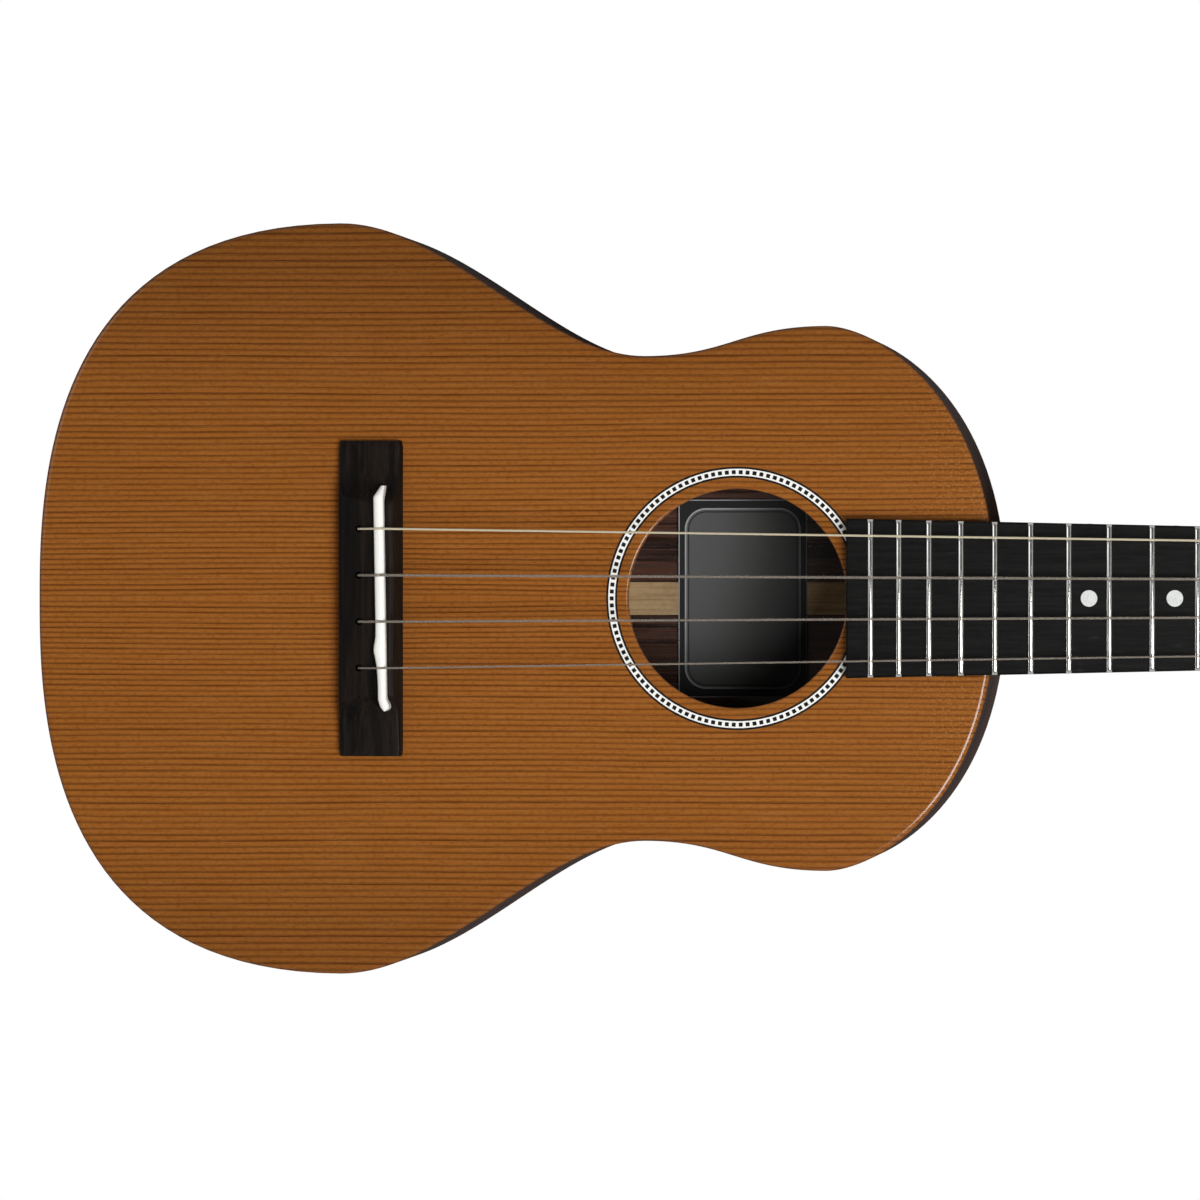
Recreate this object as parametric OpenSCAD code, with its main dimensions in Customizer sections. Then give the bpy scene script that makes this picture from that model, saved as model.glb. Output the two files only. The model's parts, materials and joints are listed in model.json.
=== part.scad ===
// Tenor ukulele: four strings, 18 frets, neck joining the body at the 14th fret.
// +X points from the body to the headstock, +Y to the lowest string's side, +Z out of the soundboard.
// The origin lies on the back's outer face, under the centre of the soundhole.

/* [Scale] */
// Length of an open string, from the nut to the uncompensated bridge line
scale_length = 432; // [360:1:445]
// Number of frets
fret_count = 18; // [15:1:18]

/* [Body] */
// Length of the body, from the tail to the neck joint
body_len = 309.5; // [290:0.5:370]
// Width across the lower bout
lower_bout_w = 241.8; // [215:0.1:270]
// Width across the waist
waist_w = 155.6; // [140:0.1:185]
// Width across the upper bout
upper_bout_w = 174.5; // [160:0.5:200]
// Depth of the body, back and soundboard included
body_depth = 68; // [60:0.5:82]
// Thickness of the soundboard
top_t = 2.4; // [2:0.1:3]
// Thickness of the back plate
back_t = 2.2; // [1.8:0.1:3]
// Thickness of the sides
side_t = 2; // [1.6:0.1:2.6]
// Radius of the soundhole
soundhole_r = 35.1; // [29:0.1:36.5]
// Distance from the neck joint back to the soundhole's centre
soundhole_set = 82.8; // [82:0.1:92]
// Distance from the edge of the soundhole to the rosette
rosette_gap = 3.6; // [2:0.1:5]
// Width of the rosette
rosette_w = 3.5; // [2.4:0.1:5]
// Number of dark squares in the rosette
rosette_count = 114; // [80:1:120]

/* [Inside] */
// Width of the linings
lining_w = 5; // [4:0.5:7]
// Height of the linings
lining_h = 12; // [8:0.5:14]
// Length of the neck block along the body
neck_block_len = 28; // [22:1:30]
// Width of the neck block
neck_block_w = 62; // [50:1:80]
// Thickness of the tail block
tail_block_len = 14; // [10:1:20]
// Width of the tail block
tail_block_w = 60; // [45:1:80]
// Width of the end graft between the sides at the tail
graft_w = 14; // [8:0.5:20]
// Width of the transverse and back braces
brace_w = 8; // [6:0.5:8]
// Height of the transverse and back braces
brace_h = 10; // [7:0.5:13]
// Width of a fan brace
fan_w = 5; // [3.5:0.5:6]
// Height of a fan brace
fan_h = 6; // [4:0.5:8]
// Width of the strip over the back's seam
strip_w = 10.8; // [8:0.1:20]
// Thickness of the strip over the back's seam
strip_t = 1.2; // [0.8:0.1:2]
// Length of the blank label, along the body
label_l = 42.4; // [30:0.1:50]
// Width of the blank label
label_w = 65; // [50:0.1:90]

/* [Neck] */
// Width of the neck at the nut
nut_w = 38; // [35:0.5:41]
// Width of the fretboard at its body end
fretboard_end_w = 51; // [45:0.5:56]
// Thickness of the fretboard
fretboard_t = 5.5; // [4:0.1:7]
// Length of fretboard past the last fret
fretboard_past = 7.8; // [4:0.1:8]
// Depth of the neck's wood at the nut
neck_d_nut = 12.5; // [12:0.1:15]
// Depth of the neck's wood at the heel
neck_d_heel = 15.5; // [14:0.1:19]
// Length of the heel at its cap
heel_len = 18; // [17:0.5:24]
// Width of the heel at its cap
heel_w = 27; // [22:0.5:34]
// Length of the nut along the neck
nut_len = 4.5; // [3.5:0.1:6]
// Width of a fret's crown
fret_w = 1.9; // [1.4:0.1:2.6]
// Height of a fret's crown
fret_h = 1; // [0.7:0.05:1.3]
// Diameter of a position marker
marker_d = 5.3; // [3:0.1:6.5]

/* [Bridge] */
// Width of the bridge across the strings
bridge_w = 101.5; // [86:0.5:112]
// Length of the bridge along the strings
bridge_len = 20.3; // [16:0.1:24]
// Height of the bridge's middle block
bridge_h = 7.4; // [6:0.1:9]
// Width of the bridge's middle block
bridge_block_w = 63; // [56:0.5:66]
// Height of the bridge's middle block at its back edge
bridge_back_h = 4.4; // [3.5:0.1:5.5]
// Thickness of the bridge's wings at their ends
bridge_wing_t = 2.2; // [1.8:0.1:3.2]
// Thickness of the saddle
saddle_t = 3.2; // [2.4:0.1:4]
// Width of the saddle across the strings
saddle_w = 72.3; // [56:0.1:76]
// Angle of the saddle, for the strings' compensation
saddle_angle = 0.95; // [0:0.05:2]
// Extra string length at the saddle's middle
compensation = 4.5; // [2:0.1:5]
// Distance between neighbouring strings at the saddle
bridge_spacing = 14.9; // [12:0.05:15.5]
// Distance between neighbouring strings at the nut
nut_spacing = 10.45; // [9:0.05:10.8]
// Height of the strings over the fretboard at the saddle
string_rise = 5.5; // [4.5:0.1:7]

/* [Headstock and tuners] */
// Length of the headstock past the nut
headstock_len = 132; // [120:1:145]
// Width of the headstock at its widest
headstock_w = 66; // [64:0.5:76]
// Thickness of the headstock's wood
headstock_t = 12.5; // [10.4:0.1:15]
// Angle of the headstock
headstock_angle = 12; // [8:0.5:15]
// Thickness of the headstock's veneer
veneer_t = 1.5; // [0.8:0.1:2]
// Distance from the nut to the first pair of posts
first_post = 40; // [36:0.5:44]
// Distance between the pairs of posts
post_pitch = 40; // [38:0.5:44]
// Distance from the centreline to each post
post_y = 19.5; // [18:0.1:20.5]
// Radius of a string post
post_r = 3; // [2.5:0.1:3.6]
// Running clearance of a shaft in its bearing, on the radius
clearance = 0.05; // [0.02:0.01:0.1]

/* [Hidden] */
$fn = 48;

// The joints between the body, the neck and the strings. The 14th fret lies over the neck joint.
joint_fret = 14;
top_z = body_depth;
joint_x = soundhole_set;
tail_x = joint_x - body_len;
fb_top = top_z + fretboard_t;
function fret_from_nut(n) = scale_length * (1 - pow(2, -n / 12));
nut_x = joint_x + fret_from_nut(joint_fret);
fb_end_x = nut_x - fret_from_nut(fret_count) - fretboard_past;
function fb_w(x) = nut_w + (fretboard_end_w - nut_w) * (nut_x - x) / (nut_x - fb_end_x);
saddle_x = nut_x - scale_length - compensation;
saddle_set = 6.2;
hole_set = 7.4;
bridge_front = saddle_x + saddle_set;
bridge_back = bridge_front - bridge_len;
hole_x = saddle_x - hole_set;
crown_z = fb_top + string_rise;
inside_z = body_depth - top_t;
hole_r = 1;

// Sizes that only the inside uses
upper_brace_x = soundhole_r + 9;
lower_brace_x = -soundhole_r - 11;
back_brace_xs = [soundhole_r + 5, -soundhole_r - 25, tail_x + 75];
label_x = -3.8;
label_t = 0.2;
fan_focus = 60;
fan_step = 15;
plate_t = 2;
plate_l = 27;
plate_w = 92;
plate_shift = 4;

// The heel bolts
bolt_r = 3;
bolt_zs = [body_depth * 0.3, body_depth * 0.66];
bolt_head_r = 5;
bolt_head_l = 6;
washer_r = 8.5;
washer_t = 1.5;
insert_r = 4.75;
insert_l = 12;
block_x = joint_x - side_t - neck_block_len;

// The headstock's own frame starts behind the nut, on the neck's top face
hs_x = nut_x + nut_len;
hs_sin = sin(headstock_angle);
hs_cos = cos(headstock_angle);
function hs_point(p) = [hs_x + p[0] * hs_cos + p[2] * hs_sin, p[1], top_z - p[0] * hs_sin + p[2] * hs_cos];

// The tuners: a single-start worm and a gear of gear_teeth teeth
gear_teeth = 14;
worm_pitch = 2.4;
gear_r = gear_teeth * worm_pitch / 360 * 180 / PI;
worm_r = 2.75;
tooth_h = 0.5;
tooth_d = 0.75;
gear_t = 3;
shaft_r = 1.5;
worm_root_r = 2.1;
worm_out_r = 3.3;
worm_set = gear_r + worm_r;
worm_half = 1.65 * worm_pitch;
plate_th = 1.2;
plate_back = -headstock_t - plate_th;
worm_z = plate_back - worm_out_r - 0.3;
ear_t = 1.5;
ear_r = 2.8;
ear_gap = 0.35;
bushing_r = 4.25;
collar_r = 5.6;
collar_h = 1.2;
button_y = 14.5;
button_l = 14.5;
button_w = 17;
button_t = 6.5;
post_top = veneer_t + 11;
wind_z = veneer_t + collar_h + 1.5;
post_hole_z = veneer_t + 7.4;
screw_ends = [9.8, -15.6];
screw_r = 1.2;
screw_head_r = 2.4;
screw_len = 9;

// Each string: its place from the centre in spacings, its radius, its post's row and its post's side
G = [1.5, 0.36, 0, 1];
C = [0.5, 0.44, 1, 1];
E = [-0.5, 0.4, 1, -1];
A = [-1.5, 0.32, 0, -1];
strings = [G, C, E, A];
function post_x(s) = first_post + s[2] * post_pitch;

// ---- Curves ----

function bezier(p, t) =
    pow(1 - t, 3) * p[0] + 3 * t * pow(1 - t, 2) * p[1] + 3 * t * t * (1 - t) * p[2] + pow(t, 3) * p[3];
function bezier_way(p, t) =
    pow(1 - t, 2) * (p[1] - p[0]) + 2 * t * (1 - t) * (p[2] - p[1]) + t * t * (p[3] - p[2]);
function unit(v) = v / norm(v);
function mirrored(line) = [for (i = [len(line) - 2:-1:1]) [line[i][0], -line[i][1]]];
function power(v, e) = sign(v) * pow(abs(v), e);

// Half of the body's outline from the tail to the neck joint, as four curves
lower_x = joint_x - 0.6825 * body_len;
waist_x = joint_x - 0.364 * body_len;
upper_x = joint_x - 0.1761 * body_len;
wl = lower_bout_w / 2;
ww = waist_w / 2;
wu = upper_bout_w / 2;
body_curves = [
    [[tail_x, 0], [tail_x, 0.274 * wl], [lower_x - 0.3173 * body_len, wl], [lower_x, wl]],
    [[lower_x, wl], [lower_x + 0.1113 * body_len, wl], [waist_x - 0.1051 * body_len, ww], [waist_x, ww]],
    [[waist_x, ww], [waist_x + 0.0868 * body_len, ww], [upper_x - 0.0891 * body_len, wu], [upper_x, wu]],
    [[upper_x, wu], [upper_x + 0.048 * body_len, wu], [joint_x, 0.77 * wu], [joint_x, 0]]
];
curve_steps = 18;

// The half outline moved inwards by inset, along its own normals
function body_half(inset) = [
    for (c = body_curves) for (i = [(c == body_curves[0] ? 0 : 1):curve_steps])
        let (t = i / curve_steps, way = unit(bezier_way(c, t)))
        bezier(c, t) + inset * [way[1], -way[0]]
];
function body_line(inset) = let (half = body_half(inset)) concat(half, mirrored(half));

// A plate of the body's outline
module body_plate(inset, z, t) {
    translate([0, 0, z]) linear_extrude(t) polygon(body_line(inset));
}

// A band that follows the sides, between two insets
module body_band(inset, w, z, t) {
    difference() {
        body_plate(inset, z, t);
        body_plate(inset + w, z - 1, t + 2);
    }
}

module block(x0, x1, w, z0, z1) {
    translate([x0, -w / 2, z0]) cube([x1 - x0, w, z1 - z0]);
}

// A closed solid through rings of points, each ring with the same number of points
module loft(rings) {
    n = len(rings[0]);
    m = len(rings);
    polyhedron(
        points = [for (r = rings) for (p = r) p],
        faces = concat(
            [[for (i = [n - 1:-1:0]) i]],
            [for (j = [0:m - 2]) for (i = [0:n - 1])
                let (a = j * n + i, b = j * n + (i + 1) % n)
                each [[a, b, b + n], [a, b + n, a + n]]],
            [[for (i = [0:n - 1]) (m - 1) * n + i]]
        ),
        convexity = 6
    );
}

// ---- The box of the body ----

module string_holes(z0, z1) {
    for (s = strings)
        translate([hole_x, s[0] * bridge_spacing, z0]) cylinder(h = z1 - z0, r = hole_r);
}

rosette_in = soundhole_r + rosette_gap;
rosette_out = rosette_in + rosette_w;
rosette_line = 0.65;
rosette_t = 0.9;
rosette_z = top_z - rosette_t;

module tube(r0, r1, z, h) {
    translate([0, 0, z]) difference() {
        cylinder(h = h, r = r1, $fn = 96);
        translate([0, 0, -1]) cylinder(h = h + 2, r = r0, $fn = 96);
    }
}

module soundboard() {
    color("peru") difference() {
        body_plate(0, inside_z, top_t);
        translate([0, 0, inside_z - 1]) cylinder(h = top_t + 2, r = soundhole_r, $fn = 96);
        tube(rosette_in, rosette_out, rosette_z, rosette_t + 1);
        string_holes(inside_z - 1, top_z + 1);
    }
}

module back_plate() {
    color("saddlebrown") body_plate(0, 0, back_t);
}

module heel_bolt_holes(x0, x1, r) {
    for (z = bolt_zs)
        translate([x0, 0, z]) rotate([0, 90, 0]) cylinder(h = x1 - x0, r = r);
}

bolt_hole_r = bolt_r + 0.3;

module side_half(sign_y) {
    difference() {
        body_band(0, side_t, back_t, inside_z - back_t);
        translate([tail_x - 1, sign_y > 0 ? -wl - 1 : 0, 0]) cube([body_len + 2, wl + 1, body_depth]);
        block(tail_x - 1, tail_x + tail_block_len, graft_w, 0, body_depth);
        heel_bolt_holes(block_x, joint_x + 1, bolt_hole_r);
    }
}

module bass_side() { color("sienna") side_half(1); }
module treble_side() { color("sienna") side_half(-1); }

module neck_block() {
    color("burlywood") difference() {
        intersection() {
            body_plate(side_t, back_t, inside_z - back_t);
            block(block_x, joint_x, neck_block_w, 0, body_depth);
        }
        heel_bolt_holes(block_x - 1, joint_x + 1, bolt_hole_r);
    }
}

tail_block_x = tail_x + side_t + tail_block_len;

module tail_block() {
    color("burlywood") intersection() {
        body_plate(side_t, back_t, inside_z - back_t);
        block(tail_x, tail_block_x, tail_block_w, 0, body_depth);
    }
}

module end_graft() {
    color("saddlebrown") intersection() {
        body_band(0, side_t, back_t, inside_z - back_t);
        block(tail_x - 1, tail_x + tail_block_len, graft_w, 0, body_depth);
    }
}

module linings(z) {
    difference() {
        body_band(side_t, lining_w, z, lining_h);
        block(block_x, joint_x + 1, neck_block_w, 0, body_depth);
        block(tail_x - 1, tail_block_x, tail_block_w, 0, body_depth);
    }
}

module top_linings() { color("tan") linings(inside_z - lining_h); }
module back_linings() { color("tan") linings(back_t); }

// ---- The bracing ----

// What lies inside the linings
module between_linings() {
    intersection() {
        children();
        body_plate(side_t + lining_w, 0, body_depth);
    }
}

module cross_brace(x, z, h) {
    between_linings() block(x - brace_w / 2, x + brace_w / 2, 2 * wl, z, z + h);
}

module transverse_braces() {
    color("wheat") for (x = [upper_brace_x, lower_brace_x]) cross_brace(x, inside_z - brace_h, brace_h);
}

patch_t = 1.5;

module soundhole_patch() {
    color("wheat") difference() {
        tube(soundhole_r + 1, soundhole_r + 13, inside_z - patch_t, patch_t);
        for (x = [upper_brace_x, lower_brace_x])
            block(x - brace_w / 2, x + 2 * brace_w, 2 * wl, 0, body_depth);
        block(lower_brace_x - 2 * brace_w, lower_brace_x + brace_w / 2, 2 * wl, 0, body_depth);
    }
}

module bridge_plate_block() {
    x = hole_x + plate_shift;
    block(x - plate_l / 2, x + plate_l / 2, plate_w, inside_z - plate_t, inside_z);
}

module bridge_plate() {
    color("wheat") difference() {
        bridge_plate_block();
        string_holes(inside_z - plate_t - 1, inside_z + 1);
    }
}

module fan_brace(k) {
    translate([fan_focus, 0, inside_z - fan_h])
        rotate([0, 0, 180 - atan(k * fan_step / (fan_focus - hole_x))])
            translate([0, -fan_w / 2, 0]) cube([body_len, fan_w, fan_h]);
}

// A fan brace that meets the tail block ends at it, even where its end would pass beside the block
module fan_braces() {
    color("wheat") difference() {
        between_linings() for (k = [-2:2]) fan_brace(k);
        block(lower_brace_x - brace_w / 2, joint_x + 1, 2 * wl, 0, body_depth);
        block(tail_x - 1, tail_block_x, tail_block_w + 2 * fan_w, 0, body_depth);
        bridge_plate_block();
    }
}

module back_braces() {
    color("wheat") for (x = back_brace_xs) cross_brace(x, back_t, brace_h);
}

module back_seam_strip() {
    color("burlywood") difference() {
        block(tail_block_x, block_x, strip_w, back_t, back_t + strip_t);
        for (x = back_brace_xs) block(x - brace_w / 2, x + brace_w / 2, 2 * strip_w, 0, body_depth);
    }
}

module label() {
    z = back_t + strip_t;
    color("dimgray") block(label_x - label_l / 2, label_x + label_l / 2, label_w, z, z + label_t);
}

// ---- The rosette ----

module rosette_lines() {
    color("black") {
        tube(rosette_in, rosette_in + rosette_line, rosette_z, rosette_t);
        tube(rosette_out - rosette_line, rosette_out, rosette_z, rosette_t);
    }
}

band_in = rosette_in + rosette_line;
band_out = rosette_out - rosette_line;

module rosette_square_row(extra) {
    mid = (band_in + band_out) / 2;
    size = PI * mid / rosette_count;
    for (i = [0:rosette_count - 1])
        rotate([0, 0, i * 360 / rosette_count])
            translate([mid - size / 2, -size / 2, rosette_z - extra])
                cube([size, size, rosette_t + 2 * extra]);
}

module rosette_band() {
    color("ivory") difference() {
        tube(band_in, band_out, rosette_z, rosette_t);
        rosette_square_row(1);
    }
}

module rosette_squares() { color("black") rosette_square_row(0); }

// ---- The bridge ----

// The bridge from the front: a flat block between two wings that sweep down to thin ends
block_half = bridge_block_w / 2;
wing = bridge_w / 2 - block_half;
wing_top = [
    [block_half, bridge_h], [block_half + 0.1 * wing, bridge_wing_t + 1.2],
    [block_half + 0.35 * wing, bridge_wing_t + 0.3], [bridge_w / 2, bridge_wing_t]
];
bridge_half = [for (i = [0:10]) bezier(wing_top, i / 10)];
bridge_front_line = concat(
    [[bridge_w / 2, 0]],
    [for (i = [10:-1:0]) bridge_half[i]],
    [for (p = bridge_half) [-p[0], p[1]]],
    [[-bridge_w / 2, 0]]
);

module saddle_frame() {
    translate([saddle_x, 0, top_z]) rotate([0, 0, saddle_angle]) children();
}

slot_z = 3.2;

module bridge() {
    color([0.09, 0.07, 0.06]) difference() {
        translate([bridge_back, 0, top_z]) rotate([90, 0, 90])
            linear_extrude(bridge_len) polygon(bridge_front_line);
        translate([0, bridge_w, top_z]) rotate([90, 0, 0]) linear_extrude(2 * bridge_w) polygon([
            [bridge_back - 1, bridge_back_h], [bridge_back, bridge_back_h],
            [hole_x + hole_r, bridge_h], [hole_x + hole_r, 2 * bridge_h], [bridge_back - 1, 2 * bridge_h]
        ]);
        saddle_frame() translate([-saddle_t / 2, -bridge_w, slot_z]) cube([saddle_t, 2 * bridge_w, bridge_h]);
        string_holes(top_z - 1, top_z + bridge_h + 1);
    }
}

// The saddle across its thickness: straight sides under a round crown
saddle_h = crown_z - top_z - slot_z;
crown_round = saddle_t / 2;
saddle_profile = concat(
    [[-saddle_t / 2, 0], [saddle_t / 2, 0]],
    [for (a = [0:15:180]) [crown_round * cos(a), saddle_h - crown_round + crown_round * sin(a)]]
);

module saddle() {
    color("ivory") saddle_frame() translate([0, saddle_w / 2, slot_z]) difference() {
        rotate([90, 0, 0]) linear_extrude(saddle_w) polygon(saddle_profile);
        for (y = [0, -saddle_w])
            translate([-saddle_t, y, saddle_h]) rotate([y < 0 ? 35 : -35, 0, 0])
                translate([0, -3, -1.6]) cube([2 * saddle_t, 6, 6]);
    }
}

// ---- The neck ----

neck_sides = 16;
function neck_ring(x, w, d, e) = [
    for (i = [0:neck_sides]) let (a = 180 * i / neck_sides)
        [x, w / 2 * power(cos(a), e), top_z - d * power(sin(a), e)]
];
function neck_d(x) = neck_d_nut + (neck_d_heel - neck_d_nut) * (nut_x - x) / (nut_x - joint_x);
neck_tuck = 3;
square_end = 16;
neck_xs = concat(
    [joint_x - neck_tuck, joint_x + 60, joint_x + 130, nut_x - square_end],
    [for (i = [1:5]) nut_x - square_end + i / 5 * (square_end + nut_len)]
);
neck_rings = [
    for (x = neck_xs)
        let (q = max(0, (x - nut_x + square_end) / (square_end + nut_len)))
        neck_ring(x, min(fb_w(x), fb_w(joint_x)), neck_d(x), 1 - 0.65 * q * q * (3 - 2 * q))
];

heel_z = back_t;
heel_sides = 14;
heel_steps = 12;
heel_flare = 28;
function heel_ring(u) =
    let (
        z = heel_z + u * (top_z - heel_z),
        l = heel_len + 2 * u + heel_flare * pow(u, 5),
        w = heel_w + (fb_w(joint_x) - heel_w) * pow(u, 0.9)
    )
    [for (i = [0:heel_sides]) let (a = 90 - 180 * i / heel_sides)
        [joint_x - neck_tuck + (l + neck_tuck) * power(cos(a), 0.8), w / 2 * power(sin(a), 0.8), z]];

headstock_curves = [
    [[0, nut_w / 2], [9, nut_w / 2], [9, headstock_w / 2 - 3], [25, headstock_w / 2 - 2]],
    [[25, headstock_w / 2 - 2], [50, headstock_w / 2 - 1], [80, headstock_w / 2],
        [headstock_len - 20, headstock_w / 2]],
    [[headstock_len - 20, headstock_w / 2], [headstock_len - 8, headstock_w / 2],
        [headstock_len, 18], [headstock_len, 0]]
];
headstock_half = concat([[0, 0]], [
    for (c = headstock_curves) for (i = [(c == headstock_curves[0] ? 0 : 1):10]) bezier(c, i / 10)
]);

module headstock_frame() {
    translate([hs_x, 0, top_z]) rotate([0, headstock_angle, 0]) children();
}

module headstock_plate(z, t) {
    translate([0, 0, z]) linear_extrude(t) polygon(concat(headstock_half, mirrored(headstock_half)));
}

module at_posts() {
    headstock_frame() for (s = strings) translate([post_x(s), s[3] * post_y, 0]) children();
}

module plate_screw_places(z) {
    at_posts() for (x = screw_ends) translate([x, 0, z]) children();
}

rod_w = 4;
rod_h = 8;
rod_x0 = joint_x + 4;
rod_x1 = nut_x - 6;

module neck() {
    color([0.45, 0.25, 0.15]) difference() {
        union() {
            loft(neck_rings);
            loft([for (i = [0:heel_steps]) heel_ring(i / heel_steps)]);
            headstock_frame() headstock_plate(-headstock_t, headstock_t);
        }
        body_plate(0, -1, body_depth + 2);
        translate([rod_x0, -rod_w / 2, top_z - rod_h]) cube([rod_x1 - rod_x0, rod_w, rod_h + 1]);
        heel_bolt_holes(joint_x - neck_tuck - 1, joint_x + insert_l + 1, insert_r);
        at_posts() translate([0, 0, -headstock_t - 1]) cylinder(h = headstock_t + 2, r = bushing_r);
        plate_screw_places(-headstock_t - 1) cylinder(h = screw_len + 1, r = screw_r);
    }
}

module headstock_veneer() {
    color("black") difference() {
        headstock_frame() headstock_plate(0, veneer_t);
        translate([nut_x, -nut_w, top_z]) cube([nut_len, 2 * nut_w, 3 * veneer_t]);
        at_posts() cylinder(h = 2 * veneer_t, r = bushing_r);
    }
}

module heel_cap() {
    color("black") difference() {
        linear_extrude(back_t) polygon([for (p = heel_ring(0)) [p[0], p[1]]]);
        body_plate(0, -1, body_depth);
    }
}

// ---- The fretboard ----

module fretboard_block(z, t) {
    translate([0, 0, z]) linear_extrude(t) polygon([
        [fb_end_x, -fretboard_end_w / 2], [nut_x, -nut_w / 2],
        [nut_x, nut_w / 2], [fb_end_x, fretboard_end_w / 2]
    ]);
}

tang_w = 0.6;
tang_d = 2;
marker_frets = [5, 7, 10, 12];
marker_t = 1.5;
side_marker_r = 1;
side_marker_l = 2;
function fret_x(n) = nut_x - fret_from_nut(n);
function marker_x(n) = (fret_x(n) + fret_x(n - 1)) / 2;

module marker_places(extra) {
    for (n = marker_frets)
        translate([marker_x(n), 0, fb_top - marker_t]) cylinder(h = marker_t + extra, r = marker_d / 2);
}

module side_marker_places() {
    for (n = marker_frets)
        translate([marker_x(n), fb_w(marker_x(n)) / 2 - side_marker_l, fb_top - 0.45 * fretboard_t])
            rotate([-90, 0, 0]) cylinder(h = side_marker_l + 1, r = side_marker_r);
}

module fretboard() {
    color([0.1, 0.1, 0.1]) difference() {
        fretboard_block(top_z, fretboard_t);
        for (n = [1:fret_count])
            translate([fret_x(n) - tang_w / 2, -fretboard_end_w, fb_top - tang_d])
                cube([tang_w, 2 * fretboard_end_w, tang_d + 1]);
        marker_places(1);
        side_marker_places();
    }
}

// A fret across the board: a tang in its slot under a round crown with bevelled ends
fret_profile = concat(
    [[-fret_w / 2, 0], [-tang_w / 2, 0], [-tang_w / 2, -tang_d], [tang_w / 2, -tang_d], [tang_w / 2, 0]],
    [for (a = [0:20:160]) [fret_w / 2 * cos(a), fret_h * sin(a)]]
);
fret_bevel = 0.6;

module fret(n) {
    w = fb_w(fret_x(n));
    translate([fret_x(n), 0, fb_top]) intersection() {
        translate([0, w / 2, 0]) rotate([90, 0, 0]) linear_extrude(w) polygon(fret_profile);
        translate([-fret_w, 0, 0]) rotate([90, 0, 90]) linear_extrude(2 * fret_w) polygon([
            [-w / 2, -tang_d - 1], [w / 2, -tang_d - 1], [w / 2, 0], [w / 2 - fret_bevel, fret_h + 0.1],
            [-w / 2 + fret_bevel, fret_h + 0.1], [-w / 2, 0]
        ]);
    }
}

module frets() { color("silver") for (n = [1:fret_count]) fret(n); }
module position_markers() { color("white") marker_places(0); }

module side_markers() {
    color("white") intersection() {
        side_marker_places();
        fretboard_block(top_z, fretboard_t);
    }
}

nut_string_z = fb_top + fret_h + 0.3;
nut_top = nut_string_z + 0.8;

module nut() {
    color("ivory") difference() {
        translate([0, nut_w / 2, 0]) rotate([90, 0, 0]) linear_extrude(nut_w) polygon([
            [nut_x, top_z], [hs_x, top_z], [hs_x, nut_top - 1.6], [hs_x - 1.4, nut_top - 0.5],
            [nut_x + 0.6, nut_top], [nut_x, nut_top - 0.4]
        ]);
        for (s = strings) let (start = string_at_nut(s), stop = string_on_post(s), way = stop - start)
            translate(start) rotate([0, 0, atan2(way[1], way[0])])
                rotate([0, atan2(-way[2], norm([way[0], way[1]])), 0])
                    translate([-3, -s[1] - clearance, -s[1] - clearance])
                        cube([12, 2 * (s[1] + clearance), 6]);
    }
}

// ---- The neck's fastenings ----

module neck_rod() {
    color("dimgray") translate([rod_x0, -rod_w / 2, top_z - rod_h]) cube([rod_x1 - rod_x0, rod_w, rod_h]);
}

module neck_bolts() {
    color("silver") for (z = bolt_zs) translate([block_x - washer_t, 0, z]) rotate([0, 90, 0]) {
        cylinder(h = joint_x + insert_l - block_x + washer_t, r = bolt_r);
        difference() {
            translate([0, 0, -bolt_head_l]) cylinder(h = bolt_head_l, r = bolt_head_r);
            translate([0, 0, -bolt_head_l - 1]) cylinder(h = 4, r = 2.9, $fn = 6);
        }
    }
}

module neck_washers() {
    color("silver") for (z = bolt_zs) translate([block_x - washer_t, 0, z]) rotate([0, 90, 0]) difference() {
        cylinder(h = washer_t, r = washer_r);
        translate([0, 0, -1]) cylinder(h = washer_t + 2, r = bolt_hole_r);
    }
}

module neck_inserts() {
    color("goldenrod") for (z = bolt_zs) translate([joint_x, 0, z]) rotate([0, 90, 0]) difference() {
        cylinder(h = insert_l, r = insert_r);
        translate([0, 0, -1]) cylinder(h = insert_l + 2, r = bolt_r);
    }
}

// ---- The strings ----

function string_at_nut(s) = [nut_x + 0.6, s[0] * nut_spacing, nut_string_z + s[1]];

// Where the string meets its post, on the side towards the centreline
function string_tangent(s) =
    let (
        away = [post_x(s), s[3] * post_y - s[0] * nut_spacing],
        reach = post_r + s[1] + clearance,
        turn = atan2(away[1], away[0]) - s[3] * asin(reach / norm(away)),
        far = sqrt(away * away - reach * reach)
    )
    [far * cos(turn), s[0] * nut_spacing + far * sin(turn), wind_z];
function string_on_post(s) = hs_point(string_tangent(s));

knot_r = 1.4;
knot_z = inside_z - plate_t;

// Along each string: the knot, the hole through the bridge, the saddle, the nut and the post
function string_path(s) =
    let (y = s[0] * bridge_spacing, x = saddle_x - y * tan(saddle_angle), z = top_z + bridge_h)
    [
        [hole_x, y, knot_z - 2.8], [hole_x, y, knot_z - 2.2], [hole_x, y, knot_z - 0.6], [hole_x, y, knot_z],
        [hole_x, y, z - 0.6], [hole_x + 0.25, y, z], [hole_x + 0.9, y, z + 0.6],
        [x - 0.8, y, crown_z + s[1] - 0.2], [x, y, crown_z + s[1]],
        string_at_nut(s), string_on_post(s)
    ];
function string_radii(s) = concat([0.6, knot_r, knot_r], [for (i = [3:10]) s[1]]);

string_sides = 8;

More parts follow.
